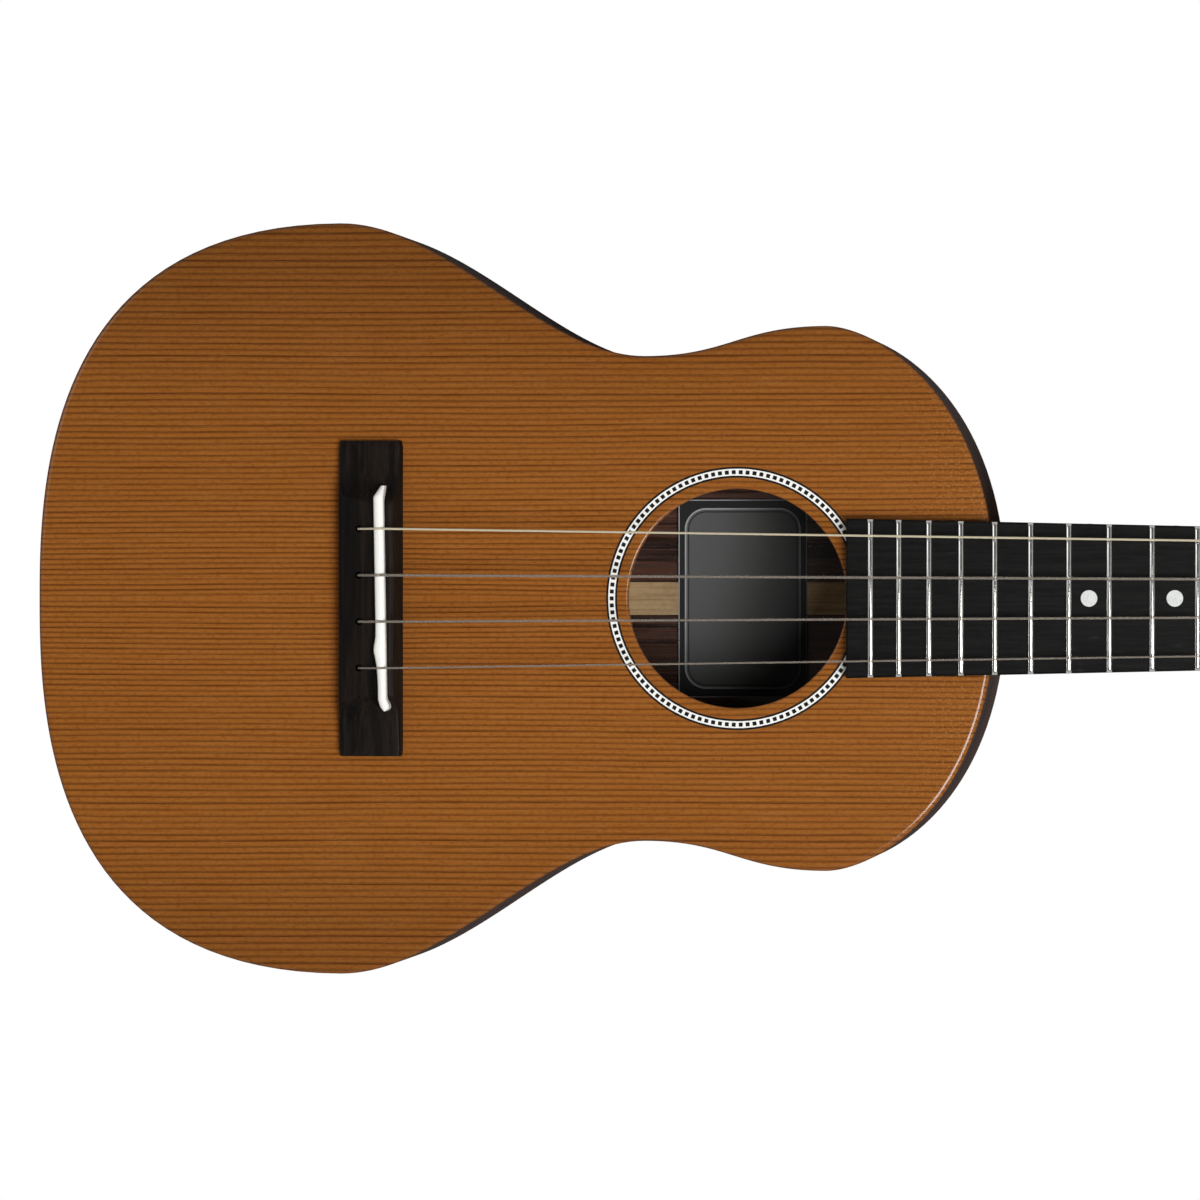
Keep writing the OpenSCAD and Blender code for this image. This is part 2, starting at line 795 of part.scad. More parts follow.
// The bisecting plane at each point of the path carries one ring of the string
function string_ring(path, i, r) =
    let (
        last = len(path) - 1,
        before = unit(path[max(i, 1)] - path[max(i, 1) - 1]),
        after = unit(path[min(i, last - 1) + 1] - path[min(i, last - 1)]),
        way = unit(before + after),
        side = unit(cross(way, [0, 1, 0])),
        up = cross(side, way),
        stretch = 1 / max(0.6, before * way)
    )
    [for (k = [0:string_sides - 1]) let (a = 360 * (k + 0.5) / string_sides)
        path[i] + r * (stretch * cos(a) * side + sin(a) * up)];

module string(s) {
    path = string_path(s);
    radii = string_radii(s);
    color("lightgray") loft([for (i = [0:len(path) - 1]) string_ring(path, i, radii[i])]);
}

module string_g() { string(G); }
module string_c() { string(C); }
module string_e() { string(E); }
module string_a() { string(A); }

// ---- The tuners ----
// Each tuner is drawn for the bass side, around its post's axis, and mirrored for the treble side.

module tuner_frame(s) {
    headstock_frame() translate([post_x(s), s[3] * post_y, 0])
        if (s[3] < 0) mirror([0, 1, 0]) children(); else children();
}

// The worm's own axis, along its shaft and away from the centreline
module worm_frame(s) {
    tuner_frame(s) translate([-worm_set, 0, worm_z]) rotate([-90, 0, 0]) children();
}

plate_x0 = -19.6;
plate_x1 = 13.6;
plate_half = 6.6;
plate_corner = 3;

module tuner_plate() {
    difference() {
        union() {
            translate([0, 0, plate_back]) linear_extrude(plate_th) polygon([
                [plate_x0 + plate_corner, -plate_half], [plate_x1 - plate_corner, -plate_half],
                [plate_x1, plate_corner - plate_half], [plate_x1, plate_half - plate_corner],
                [plate_x1 - plate_corner, plate_half], [plate_x0 + plate_corner, plate_half],
                [plate_x0, plate_half - plate_corner], [plate_x0, plate_corner - plate_half]
            ]);
            for (y = [-worm_half - ear_gap - ear_t, worm_half + ear_gap])
                translate([-worm_set, y, worm_z]) rotate([-90, 0, 0]) {
                    cylinder(h = ear_t, r = ear_r);
                    translate([-ear_r, worm_z - plate_back, 0]) cube([2 * ear_r, plate_back - worm_z, ear_t]);
                }
        }
        translate([-worm_set, -plate_half - 1, worm_z]) rotate([-90, 0, 0])
            cylinder(h = 2 * plate_half + 2, r = shaft_r + clearance);
        translate([0, 0, plate_back - 1]) cylinder(h = plate_th + 2, r = post_r + clearance);
        for (x = screw_ends) translate([x, 0, plate_back - 1]) cylinder(h = plate_th + 2, r = screw_r);
    }
}

module tuner_plates() { color("silver") for (s = strings) tuner_frame(s) tuner_plate(); }

module tuner_bushings() {
    color("silver") at_posts() difference() {
        union() {
            translate([0, 0, -headstock_t * 0.6]) cylinder(h = headstock_t * 0.6 + veneer_t, r = bushing_r);
            translate([0, 0, veneer_t]) cylinder(h = collar_h, r = collar_r);
        }
        translate([0, 0, -headstock_t]) cylinder(h = 2 * headstock_t, r = post_r + clearance);
    }
}

module plate_screws() {
    color("silver") plate_screw_places(plate_back) {
        cylinder(h = screw_len - 1 + plate_th, r = screw_r);
        difference() {
            translate([0, 0, -1.4]) cylinder(h = 1.4, r = screw_head_r);
            for (a = [0, 90]) rotate([0, 0, a]) translate([-1.6, -0.3, -2]) cube([3.2, 0.6, 1.4]);
        }
    }
}

// One thread round the worm, with its crest at the gear's middle plane
thread_steps = 20;
thread_turns = 3;
module worm_thread() {
    root = 0.5 * worm_pitch;
    tip = 0.2 * worm_pitch;
    loft([for (i = [0:thread_steps * thread_turns])
        let (turn = i / thread_steps - thread_turns / 2, a = 360 * turn, z = worm_pitch * turn)
        [for (p = [[worm_root_r - 0.2, -root / 2], [worm_out_r, -tip / 2], [worm_out_r, tip / 2],
            [worm_root_r - 0.2, root / 2]]) [p[0] * cos(a), p[0] * sin(a), z + p[1]]]]);
}

shaft_in = worm_half + ear_gap + ear_t + 0.8;

module worm(s) {
    color("silver") worm_frame(s) {
        translate([0, 0, -shaft_in]) cylinder(h = shaft_in + button_y + 9, r = shaft_r);
        translate([0, 0, -worm_half]) cylinder(h = 2 * worm_half, r = worm_root_r);
        worm_thread();
    }
}

module worm_g() { worm(G); }
module worm_c() { worm(C); }
module worm_e() { worm(E); }
module worm_a() { worm(A); }

// The button is a flat oval with a short neck, pressed on the end of the shaft
module button(s) {
    color("ivory") worm_frame(s) difference() {
        union() {
            translate([0, 0, button_y]) cylinder(h = 3, r = 3);
            translate([0, button_t / 2, button_y + 2 + button_l / 2]) rotate([90, 0, 0])
                linear_extrude(button_t) polygon([for (a = [0:10:350])
                    [button_w / 2 * power(cos(a), 0.75), button_l / 2 * power(sin(a), 0.75)]]);
        }
        translate([0, 0, button_y - 1]) cylinder(h = 10, r = shaft_r);
    }
}

module button_g() { button(G); }
module button_c() { button(C); }
module button_e() { button(E); }
module button_a() { button(A); }

gear_bore = 2;
gear_z = worm_z - gear_t / 2;

module string_post(s) {
    color("silver") tuner_frame(s) difference() {
        union() {
            translate([0, 0, worm_z + gear_t / 2]) cylinder(h = post_top - worm_z - gear_t / 2, r = post_r);
            translate([0, 0, worm_z + gear_t / 2])
                cylinder(h = plate_back - 0.1 - worm_z - gear_t / 2, r = 3.8);
            translate([0, 0, gear_z - 0.6]) cylinder(h = gear_t + 1.6, r = gear_bore);
        }
        translate([-post_r - 1, 0, post_hole_z]) rotate([0, 90, 0]) cylinder(h = 2 * post_r + 2, r = 0.8);
    }
}

module string_post_g() { string_post(G); }
module string_post_c() { string_post(C); }
module string_post_e() { string_post(E); }
module string_post_a() { string_post(A); }

// The gear's teeth lie a half pitch either side of the worm's crest
module gear(s) {
    root = 0.52 * worm_pitch;
    tip = 0.26 * worm_pitch;
    color("goldenrod") tuner_frame(s) translate([0, 0, gear_z]) difference() {
        union() {
            cylinder(h = gear_t, r = gear_r - tooth_d);
            for (i = [0:gear_teeth - 1]) rotate([0, 0, 180 + (i + 0.5) * 360 / gear_teeth])
                linear_extrude(gear_t) polygon([
                    [gear_r - tooth_d - 0.4, -root / 2], [gear_r + tooth_h, -tip / 2],
                    [gear_r + tooth_h, tip / 2], [gear_r - tooth_d - 0.4, root / 2]
                ]);
        }
        translate([0, 0, -1]) cylinder(h = gear_t + 2, r = gear_bore);
    }
}

module gear_g() { gear(G); }
module gear_c() { gear(C); }
module gear_e() { gear(E); }
module gear_a() { gear(A); }

coil_turns = 3;

module string_coil(s) {
    color("lightgray") tuner_frame(s) translate([0, 0, wind_z + s[1] + clearance])
        difference() {
            cylinder(h = 2 * coil_turns * s[1], r = post_r + 2 * s[1]);
            translate([0, 0, -1]) cylinder(h = 2 * coil_turns * s[1] + 2, r = post_r);
        }
}

module string_coil_g() { string_coil(G); }
module string_coil_c() { string_coil(C); }
module string_coil_e() { string_coil(E); }
module string_coil_a() { string_coil(A); }

// ---- What is drawn ----

soundboard();
back_plate();
bass_side();
treble_side();
neck_block();
tail_block();
end_graft();
top_linings();
back_linings();
transverse_braces();
soundhole_patch();
fan_braces();
bridge_plate();
back_braces();
back_seam_strip();
label();
rosette_lines();
rosette_band();
rosette_squares();
bridge();
saddle();
neck();
headstock_veneer();
heel_cap();
fretboard();
frets();
nut();
position_markers();
side_markers();
neck_rod();
neck_bolts();
neck_washers();
neck_inserts();
string_g();
string_c();
string_e();
string_a();
tuner_plates();
tuner_bushings();
plate_screws();
worm_g();
worm_c();
worm_e();
worm_a();
button_g();
button_c();
button_e();
button_a();
string_post_g();
string_post_c();
string_post_e();
string_post_a();
gear_g();
gear_c();
gear_e();
gear_a();
string_coil_g();
string_coil_c();
string_coil_e();
string_coil_a();
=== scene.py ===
"""The looks of a tenor ukulele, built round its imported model. Lengths are in millimetres until piece() makes metres."""

import json
import math

import bmesh
import bpy
from mathutils import Matrix, Vector


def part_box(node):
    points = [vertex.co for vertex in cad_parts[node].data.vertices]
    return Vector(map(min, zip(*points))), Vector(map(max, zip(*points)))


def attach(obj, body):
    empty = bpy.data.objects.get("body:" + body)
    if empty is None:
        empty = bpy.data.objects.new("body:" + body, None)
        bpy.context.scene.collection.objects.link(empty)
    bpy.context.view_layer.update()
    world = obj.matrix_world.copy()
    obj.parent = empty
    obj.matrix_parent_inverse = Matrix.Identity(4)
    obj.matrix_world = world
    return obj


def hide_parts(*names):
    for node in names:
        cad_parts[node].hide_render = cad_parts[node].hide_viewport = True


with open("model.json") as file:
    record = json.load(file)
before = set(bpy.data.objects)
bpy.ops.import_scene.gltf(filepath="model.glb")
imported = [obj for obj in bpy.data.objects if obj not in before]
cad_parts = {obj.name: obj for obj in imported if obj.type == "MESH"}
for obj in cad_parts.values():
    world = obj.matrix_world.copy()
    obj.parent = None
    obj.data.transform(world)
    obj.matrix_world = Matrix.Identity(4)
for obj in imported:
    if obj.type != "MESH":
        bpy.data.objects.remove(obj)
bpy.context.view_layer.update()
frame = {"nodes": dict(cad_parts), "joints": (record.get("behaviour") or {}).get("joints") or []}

MM = 0.001
BODY = "instrument"
STRINGS = "gcea"


def span(node):
    """A CAD node's lowest and highest corners, in millimetres."""
    low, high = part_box(node)
    return low / MM, high / MM


# ---- Sizes, from the frame where it holds them ----

tail_x, _, inside_z = span("soundboard")[0]
joint_x, lower_half, top_z = span("soundboard")[1]
back_top = span("back_plate")[1].z
board_end_x = span("fretboard")[0].x
nut_x, board_half_end, board_z = span("fretboard")[1]
nut_half = span("nut")[1].y
head_x = span("nut")[1].x
waist_half = 77.8
upper_half = 87.25
soundhole_r = 35.1
side_t = 2.0
frets, joint_fret = 18, 14
dotted_frets = (5, 7, 10, 12)
scale_length = (nut_x - joint_x) / (1 - 2 ** (-joint_fret / 12))


def board_half(x):
    """Half of the fretboard's width at x."""
    return nut_half + (board_half_end - nut_half) * (nut_x - x) / (nut_x - board_end_x)


def fret_x(n):
    return nut_x - scale_length * (1 - 2 ** (-n / 12))


# ---- Curves and shapes. A shape is a pair: its points and its faces ----


def bezier(points, t):
    a, b, c, d = (Vector(p) for p in points)
    return a * (1 - t) ** 3 + b * 3 * t * (1 - t) ** 2 + c * 3 * t * t * (1 - t) + d * t**3


def bezier_way(points, t):
    a, b, c, d = (Vector(p) for p in points)
    return (b - a) * (1 - t) ** 2 + (c - b) * 2 * t * (1 - t) + (d - c) * t * t


body_len = joint_x - tail_x
lower_x = joint_x - 0.6825 * body_len
waist_x = joint_x - 0.364 * body_len
upper_x = joint_x - 0.1761 * body_len


def bend(x0, half0, reach0, x1, half1, reach1):
    """A curve that runs level at both its ends. The reaches are shares of the body's length."""
    return (x0, half0), (x0 + reach0 * body_len, half0), (x1 - reach1 * body_len, half1), (x1, half1)


tail_round = (tail_x, 0.274 * lower_half)
body_curves = (
    ((tail_x, 0), tail_round, (lower_x - 0.3173 * body_len, lower_half), (lower_x, lower_half)),
    bend(lower_x, lower_half, 0.1113, waist_x, waist_half, 0.1051),
    bend(waist_x, waist_half, 0.0868, upper_x, upper_half, 0.0891),
    ((upper_x, upper_half), (upper_x + 0.048 * body_len, upper_half), (joint_x, 0.77 * upper_half), (joint_x, 0)),
)


def body_half(inset=0.0, steps=40):
    """Half of the body's outline, from the tail round the bass side to the neck joint."""
    line = []
    for curve in body_curves:
        for i in range(0 if curve is body_curves[0] else 1, steps + 1):
            way = bezier_way(curve, i / steps).normalized()
            line.append(bezier(curve, i / steps) + inset * Vector((way.y, -way.x)))
    return line


def body_line(inset=0.0):
    half = body_half(inset)
    return half + [Vector((p.x, -p.y)) for p in half[-2:0:-1]]


def at_height(line, z):
    return [(p[0], p[1], z) for p in line]


def arc(radius, a):
    return Vector((radius * math.cos(a), radius * math.sin(a)))


def circle(radius, count):
    return [arc(radius, math.tau * i / count) for i in range(count)]


def squarish(value, power):
    """A sine or cosine that makes a rounder-cornered oval."""
    return math.copysign(abs(value) ** power, value)


def loft(rings, loop=False):
    """Skin through rings of points, capped at both ends, or closed on itself as a loop."""
    count = len(rings[0])
    points = [p for ring in rings for p in ring]
    faces = []
    for j in range(len(rings) if loop else len(rings) - 1):
        a = j * count
        b = (j + 1) % len(rings) * count
        for i in range(count):
            k = (i + 1) % count
            faces.append((a + i, a + k, b + k, b + i))
    if not loop:
        faces.append(tuple(range(count)))
        faces.append(tuple(range(len(points) - count, len(points))))
    return points, faces


def inset_line(line, d):
    """A closed counter-clockwise outline moved inwards by d."""
    out = []
    for i, p in enumerate(line):
        a = (Vector(p) - Vector(line[i - 1])).normalized()
        b = (Vector(line[(i + 1) % len(line)]) - Vector(p)).normalized()
        out.append(Vector(p) + Vector((-a.y - b.y, a.x + b.x)) * d / max(0.3, 1 + a.dot(b)))
    return out


def slab(line, z0, z1, top_round=0.4, bottom_round=0.4, steps=4):
    """A plate of an outline with rounded edges."""
    rings = []
    for z, radius, way in ((z0, bottom_round, 1), (z1, top_round, -1)):
        corner = [(1.5 * radius, 0.0)]
        for a in (math.pi / 2 * i / steps for i in range(steps + 1)):
            corner.append((radius * (1 - math.sin(a)), radius * (1 - math.cos(a))))
        if way < 0:
            corner.reverse()
        rings += [at_height(inset_line(line, into), z + way * up) for into, up in corner]
    return loft(rings)


def turned(profile, count=48):
    """A shape turned on a lathe, from (radius, height) pairs."""
    return loft([at_height(circle(max(r, 1e-5), count), z) for r, z in profile])


def rod(radius, z0, z1, count=48):
    return turned([(0.0, z0), (radius, z0), (radius, z1), (0.0, z1)], count)


def moved(shape, matrix):
    return [matrix @ Vector(p) for p in shape[0]], shape[1]


def joined(*shapes):
    points, faces = [], []
    for some, more in shapes:
        start = len(points)
        points += list(some)
        faces += [tuple(start + i for i in face) for face in more]
    return points, faces


def rounded_line(half_x, half_y, radius, steps=6):
    """A rectangle with round corners, counter-clockwise."""
    line = []
    for k, (sx, sy) in enumerate(((1, 1), (-1, 1), (-1, -1), (1, -1))):
        for i in range(steps + 1):
            a = math.pi / 2 * (k + i / steps)
            x, y = radius * math.cos(a), radius * math.sin(a)
            line.append(Vector((sx * (half_x - radius) + x, sy * (half_y - radius) + y)))
    return line


# ---- Objects ----


CREASE = math.radians(38)


def shade(obj):
    """Merges doubles, turns the faces outwards and marks the sharp edges."""
    work = bmesh.new()
    work.from_mesh(obj.data)
    bmesh.ops.remove_doubles(work, verts=work.verts, dist=2e-6)
    bmesh.ops.recalc_face_normals(work, faces=work.faces)
    for face in work.faces:
        face.smooth = True
    for edge in work.edges:
        edge.smooth = len(edge.link_faces) == 2 and edge.calc_face_angle() < CREASE
    work.to_mesh(obj.data)
    work.free()


def linked(name, data):
    obj = bpy.data.objects.new(name, data)
    bpy.context.scene.collection.objects.link(obj)
    return obj


def drawn(name, points, edges=(), faces=()):
    """An object whose mesh has these points, given in millimetres."""
    mesh = bpy.data.meshes.new(name)
    mesh.from_pydata([tuple(Vector(p) * MM) for p in points], list(edges), list(faces))
    return linked(name, mesh)


def raw(name, shape, material=None):
    obj = drawn(name, shape[0], faces=shape[1])
    if material:
        obj.data.materials.append(material)
    shade(obj)
    return obj


def piece(name, shape, material, node, body=BODY):
    """One finished piece: it rides on its body and stands for its CAD node."""
    obj = shape if isinstance(shape, bpy.types.Object) else raw(name, shape, material)
    obj.name = name
    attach(obj, body)
    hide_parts(node)


def settled(obj):
    """The object's evaluated mesh takes the place of its modifiers."""
    depsgraph = bpy.context.evaluated_depsgraph_get()
    mesh = bpy.data.meshes.new_from_object(obj.evaluated_get(depsgraph))
    obj.modifiers.clear()
    obj.data = mesh
    shade(obj)
    return obj


def carved(obj, shape, operation="DIFFERENCE"):
    tool = raw("tool", shape)
    cut = obj.modifiers.new("cut", "BOOLEAN")
    cut.object = tool
    cut.operation = operation
    settled(obj)
    bpy.data.objects.remove(tool)


# ---- Node trees ----


class Nodes:
    """Short calls that add nodes to a tree and join them."""

    def add(self, kind, inputs=None, **settings):
        node = self.tree.nodes.new(kind)
        for key, value in settings.items():
            setattr(node, key, value)
        for key, value in (inputs or {}).items():
            if isinstance(value, bpy.types.NodeSocket):
                self.tree.links.new(value, node.inputs[key])
            else:
                node.inputs[key].default_value = value
        return node

    def maths(self, operation, a, b=0.0):
        return self.add("ShaderNodeMath", {0: a, 1: b}, operation=operation).outputs[0]

    def vector(self, x=0.0, y=0.0, z=0.0):
        return self.add("ShaderNodeCombineXYZ", {0: x, 1: y, 2: z}).outputs[0]


class Pattern(Nodes):
    """Geometry Nodes with named sizes, for what repeats or follows a path. They end in plain meshes."""

    def __init__(self, name, **sizes):
        self.tree = bpy.data.node_groups.new(name, "GeometryNodeTree")
        face = self.tree.interface
        face.new_socket("Geometry", in_out="INPUT", socket_type="NodeSocketGeometry")
        face.new_socket("Geometry", in_out="OUTPUT", socket_type="NodeSocketGeometry")
        self.sizes = sizes
        self.keys = {}
        for key, value in sizes.items():
            kind = {int: "NodeSocketInt", float: "NodeSocketFloat"}.get(type(value), "NodeSocketObject")
            self.keys[key] = face.new_socket(key, in_out="INPUT", socket_type=kind).identifier
        self.entry = self.tree.nodes.new("NodeGroupInput")

    def size(self, key):
        return next(s for s in self.entry.outputs if s.name == key)

    def part(self, key):
        return self.add("GeometryNodeObjectInfo", {"Object": self.size(key)}).outputs["Geometry"]

    def copies(self, points, part, **ends):
        ends.update(Points=points, Instance=part)
        return self.add("GeometryNodeInstanceOnPoints", ends).outputs[0]

    def points(self, count):
        """A row of points to place things on, with their index."""
        line = self.add("GeometryNodeMeshLine", {"Count": count})
        return line.outputs[0], self.add("GeometryNodeInputIndex").outputs[0]

    def grow(self, obj, geometry, material):
        """Puts the tree on the object and keeps the plain mesh that it makes."""
        real = self.add("GeometryNodeRealizeInstances", {0: geometry}).outputs[0]
        dressed = self.add("GeometryNodeSetMaterial", {"Geometry": real, "Material": material}).outputs[0]
        self.tree.links.new(dressed, self.tree.nodes.new("NodeGroupOutput").inputs[0])
        grower = obj.modifiers.new(self.tree.name, "NODES")
        grower.node_group = self.tree
        for key, value in self.sizes.items():
            grower[self.keys[key]] = value
        return settled(obj)


def run_tube(name, line, radius, material, sides=16):
    """A round tube along a line of points."""
    obj = drawn(name, line, [(i, i + 1) for i in range(len(line) - 1)])
    tube = Pattern(name + "_tube", Radius=radius * MM)
    curve = tube.add("GeometryNodeMeshToCurve", {0: tube.size("Geometry")}).outputs[0]
    ring = tube.add("GeometryNodeCurvePrimitiveCircle", {"Resolution": sides, "Radius": tube.size("Radius")})
    ends = {"Curve": curve, "Profile Curve": ring.outputs[0], "Fill Caps": True}
    return tube.grow(obj, tube.add("GeometryNodeCurveToMesh", ends).outputs[0], material)


def repeated(name, shape, places, material):
    """A shape repeated at each place: a row of matrices in millimetres."""
    stamp = raw(name + "_one", shape)
    obj = drawn(name, [m.translation for m in places])
    turns = obj.data.attributes.new("turn", "FLOAT_VECTOR", "POINT")
    for item, m in zip(turns.data, places):
        item.vector = m.to_euler()
    rows = Pattern(name + "_places", Part=stamp)
    turn = rows.add("GeometryNodeInputNamedAttribute", {"Name": "turn"}, data_type="FLOAT_VECTOR").outputs[0]
    turn = rows.add("FunctionNodeEulerToRotation", {0: turn}).outputs[0]
    spots = rows.add("GeometryNodeMeshToPoints", {"Mesh": rows.size("Geometry")}).outputs[0]
    rows.grow(obj, rows.copies(spots, rows.part("Part"), Rotation=turn), material)
    bpy.data.objects.remove(stamp)
    return obj


# ---- Finishes ----


class Finish(Nodes):
    """A Principled material, with short calls for the nodes that feed it."""

    def __init__(self, name, **sockets):
        self.material = bpy.data.materials.new(name)
        self.material.use_nodes = True
        self.tree = self.material.node_tree
        self.shader = self.tree.nodes["Principled BSDF"]
        for key, value in sockets.items():
            self.shader.inputs[key.replace("_", " ")].default_value = value
        spot = self.tree.nodes.new("ShaderNodeTexCoord").outputs["Object"]
        self.at = self.scaled(spot, (1 / MM, 1 / MM, 1 / MM))

    def scaled(self, at, scale):
        return self.add("ShaderNodeMapping", {"Vector": at, "Scale": scale}).outputs[0]

    def noise(self, at, scale=1.0, detail=2.0, roughness=0.5, distortion=0.0):
        sizes = {"Vector": at, "Scale": scale, "Detail": detail, "Roughness": roughness, "Distortion": distortion}
        return self.add("ShaderNodeTexNoise", sizes).outputs[0]

    def grain(self, stretch, **sizes):
        return self.noise(self.scaled(self.at, stretch), **sizes)

    def fit(self, value, low, high, to_low=0.0, to_high=1.0):
        ends = {0: value, 1: low, 2: high, 3: to_low, 4: to_high}
        return self.add("ShaderNodeMapRange", ends, interpolation_type="SMOOTHSTEP").outputs[0]

    def ramp(self, value, *stops):
        """Colours, or greys given as one number, at places from 0 to 1."""
        node = self.add("ShaderNodeValToRGB", {0: value})
        marks = node.color_ramp.elements
        while len(marks) < len(stops):
            marks.new(1.0)
        for mark, (place, colour) in zip(marks, stops):
            mark.position = place
            mark.color = (*((colour,) * 3 if isinstance(colour, float) else colour), 1)
        return node.outputs[0]

    def mix(self, factor, a, b, way="MIX"):
        ends = {0: factor}
        for key, value in ((1, a), (2, b)):
            ends[key] = value if isinstance(value, bpy.types.NodeSocket) else (*value, 1)
        return self.add("ShaderNodeMixRGB", ends, blend_type=way).outputs[0]

    def tinge(self, base, mask, low, high, most, colour):
        """The colour laid over the base where the mask is high."""
        return self.mix(self.fit(mask, low, high, 0.0, most), base, colour)

    def split(self, at):
        return self.add("ShaderNodeSeparateXYZ", {0: at}).outputs

    def paint(self, colour, roughness=None, height=None, depth=0.1, strength=0.5):
        """Joins the colour, the roughness and the relief to the shader. The depth is in millimetres."""
        self.tree.links.new(colour, self.shader.inputs["Base Color"])
        if roughness is not None:
            self.tree.links.new(roughness, self.shader.inputs["Roughness"])
        if height is not None:
            bump = self.add("ShaderNodeBump", {"Height": height, "Distance": depth * MM, "Strength": strength})
            self.tree.links.new(bump.outputs[0], self.shader.inputs["Normal"])
        return self.material


def cedar_top():
    """Quarter-sawn cedar, bookmatched at the middle: fine latewood lines under a thin gloss, with painted glints
    towards the neck and painted shade towards the rim, most on the bass side.
    """
    f = Finish("cedar_top", Coat_Weight=0.35, Coat_Roughness=0.06, Specular_IOR_Level=0.2)
    x, y, z = f.split(f.at)
    from_middle = f.maths("ABSOLUTE", y)
    half = f.vector(x, from_middle, z)
    sway = f.noise(f.scaled(half, (0.006, 0.02, 0.1)), detail=1.0)
    waver = f.noise(f.scaled(half, (0.035, 0.12, 0.1)), detail=2.0)
    across = f.maths("ADD", from_middle, f.maths("MULTIPLY", sway, 3.5))
    across = f.maths("ADD", across, f.maths("MULTIPLY", waver, 0.35))
    spacing, widening = 1.62, 0.0032
    ring = f.maths("ADD", f.maths("MULTIPLY", across, widening), 1.0)
    ring = f.maths("DIVIDE", f.maths("LOGARITHM", ring, math.e), widening * spacing)
    phase = f.maths("FRACT", ring)
    number = f.maths("FLOOR", ring)
    season = f.add("ShaderNodeTexWhiteNoise", {"W": number}, noise_dimensions="1D").outputs[0]
    late = f.ramp(phase, (0.0, 0.1), (0.42, 0.0), (0.72, 0.75), (0.86, 1.0), (1.0, 0.1))
    late = f.maths("MULTIPLY", late, f.fit(season, 0.0, 1.0, 0.65, 1.0))
    fibre = f.noise(f.scaled(half, (0.05, 2.6, 1.0)), detail=4.0, roughness=0.7)
    fleck = f.noise(f.scaled(half, (0.55, 0.9, 1.0)), detail=5.0, roughness=0.72)
    cloud = f.noise(f.scaled(half, (0.009, 0.02, 0.02)), detail=2.0)
    early = f.mix(cloud, (0.33, 0.112, 0.018), (0.265, 0.083, 0.010))
    wood = f.mix(late, early, (0.075, 0.017, 0.001))
    wood = f.tinge(wood, fibre, 0.40, 0.75, 0.40, (0.40, 0.165, 0.045))
    wood = f.tinge(wood, fleck, 0.45, 0.68, 0.4, (0.11, 0.027, 0.002))
    # Painted glints: small lighter specks mixed into the colour, more of them towards the neck joint.
    glint = f.noise(f.scaled(half, (1.1, 1.5, 1.0)), detail=3.0, roughness=0.6)
    glints_towards_neck = f.fit(x, soundhole_r, joint_x, 0.0, 0.55)
    wood = f.mix(f.maths("MULTIPLY", f.fit(glint, 0.54, 0.66), glints_towards_neck), wood, (0.50, 0.22, 0.06))
    # Painted shade: the colour darkens towards the rim, most of all on the bass side (+y).
    painted_shade = f.maths("MULTIPLY", f.fit(from_middle, 60.0, 125.0, 1.0, 0.75), f.fit(y, 20.0, 110.0, 1.0, 0.86))
    wood = f.mix(1.0, wood, f.vector(painted_shade, painted_shade, painted_shade), "MULTIPLY")
    gloss = f.fit(fleck, 0.2, 0.8, 0.16, 0.26)
    height = f.maths("ADD", f.maths("MULTIPLY", late, -0.6), f.maths("MULTIPLY", fibre, 0.5))
    return f.paint(wood, gloss, height, depth=0.05, strength=0.35)


def rosewood(name, along, dark=(0.010, 0.005, 0.004), light=(0.115, 0.045, 0.026), gloss=0.2, coat=0.8, shine=0.4):
    """Dark striped rosewood. Along is the scale that stretches the figure down the grain."""
    f = Finish(name, Coat_Weight=coat, Coat_Roughness=0.05, Specular_IOR_Level=shine)
    figure = f.grain(along, scale=0.16, detail=4.0, roughness=0.55, distortion=0.6)
    lines = f.grain(along, scale=1.1, detail=3.0, roughness=0.6)
    pores = f.grain(tuple(3.5 * a for a in along), scale=1.3, detail=1.0)
    stripe = f.maths("ADD", f.maths("MULTIPLY", figure, 0.72), f.maths("MULTIPLY", lines, 0.28))
    middle = tuple((2 * a + b) / 3 for a, b in zip(dark, light))
    wood = f.ramp(stripe, (0.36, dark), (0.46, middle), (0.52, light), (0.58, middle), (0.68, dark))
    pore = f.fit(pores, 0.62, 0.72)
    wood = f.mix(f.maths("MULTIPLY", pore, 0.8), wood, tuple(0.3 * a for a in dark))
    rough = f.fit(lines, 0.2, 0.8, gloss, gloss + 0.14)
    return f.paint(wood, rough, f.maths("SUBTRACT", lines, pore), depth=0.04, strength=0.3)


def ebony():
    """Near-black board with faint grey-brown streaks and short open pores."""
    f = Finish("ebony", Specular_IOR_Level=0.1)
    streak = f.grain((0.05, 0.9, 0.9), detail=5.0, roughness=0.6, distortion=0.4)
    scuff = f.grain((0.16, 1.1, 1.1), scale=0.9, detail=6.0, roughness=0.75)
    pores = f.grain((0.5, 6.0, 6.0), detail=1.0)
    cloud = f.grain((0.03, 0.05, 0.05), detail=2.0)
    wood = f.mix(f.fit(streak, 0.35, 0.7), (0.0022, 0.0022, 0.0021), (0.0066, 0.0065, 0.006))
    scuffed = f.maths("MULTIPLY", f.fit(scuff, 0.58, 0.70), f.fit(cloud, 0.45, 0.7))
    wood = f.mix(scuffed, wood, (0.021, 0.0206, 0.0198))
    pore = f.fit(pores, 0.60, 0.68)
    wood = f.mix(f.maths("MULTIPLY", pore, 0.8), wood, (0.003, 0.003, 0.003))
    rough = f.fit(scuff, 0.3, 0.75, 0.32, 0.5)
    return f.paint(wood, rough, f.maths("SUBTRACT", streak, pore), depth=0.05, strength=0.4)


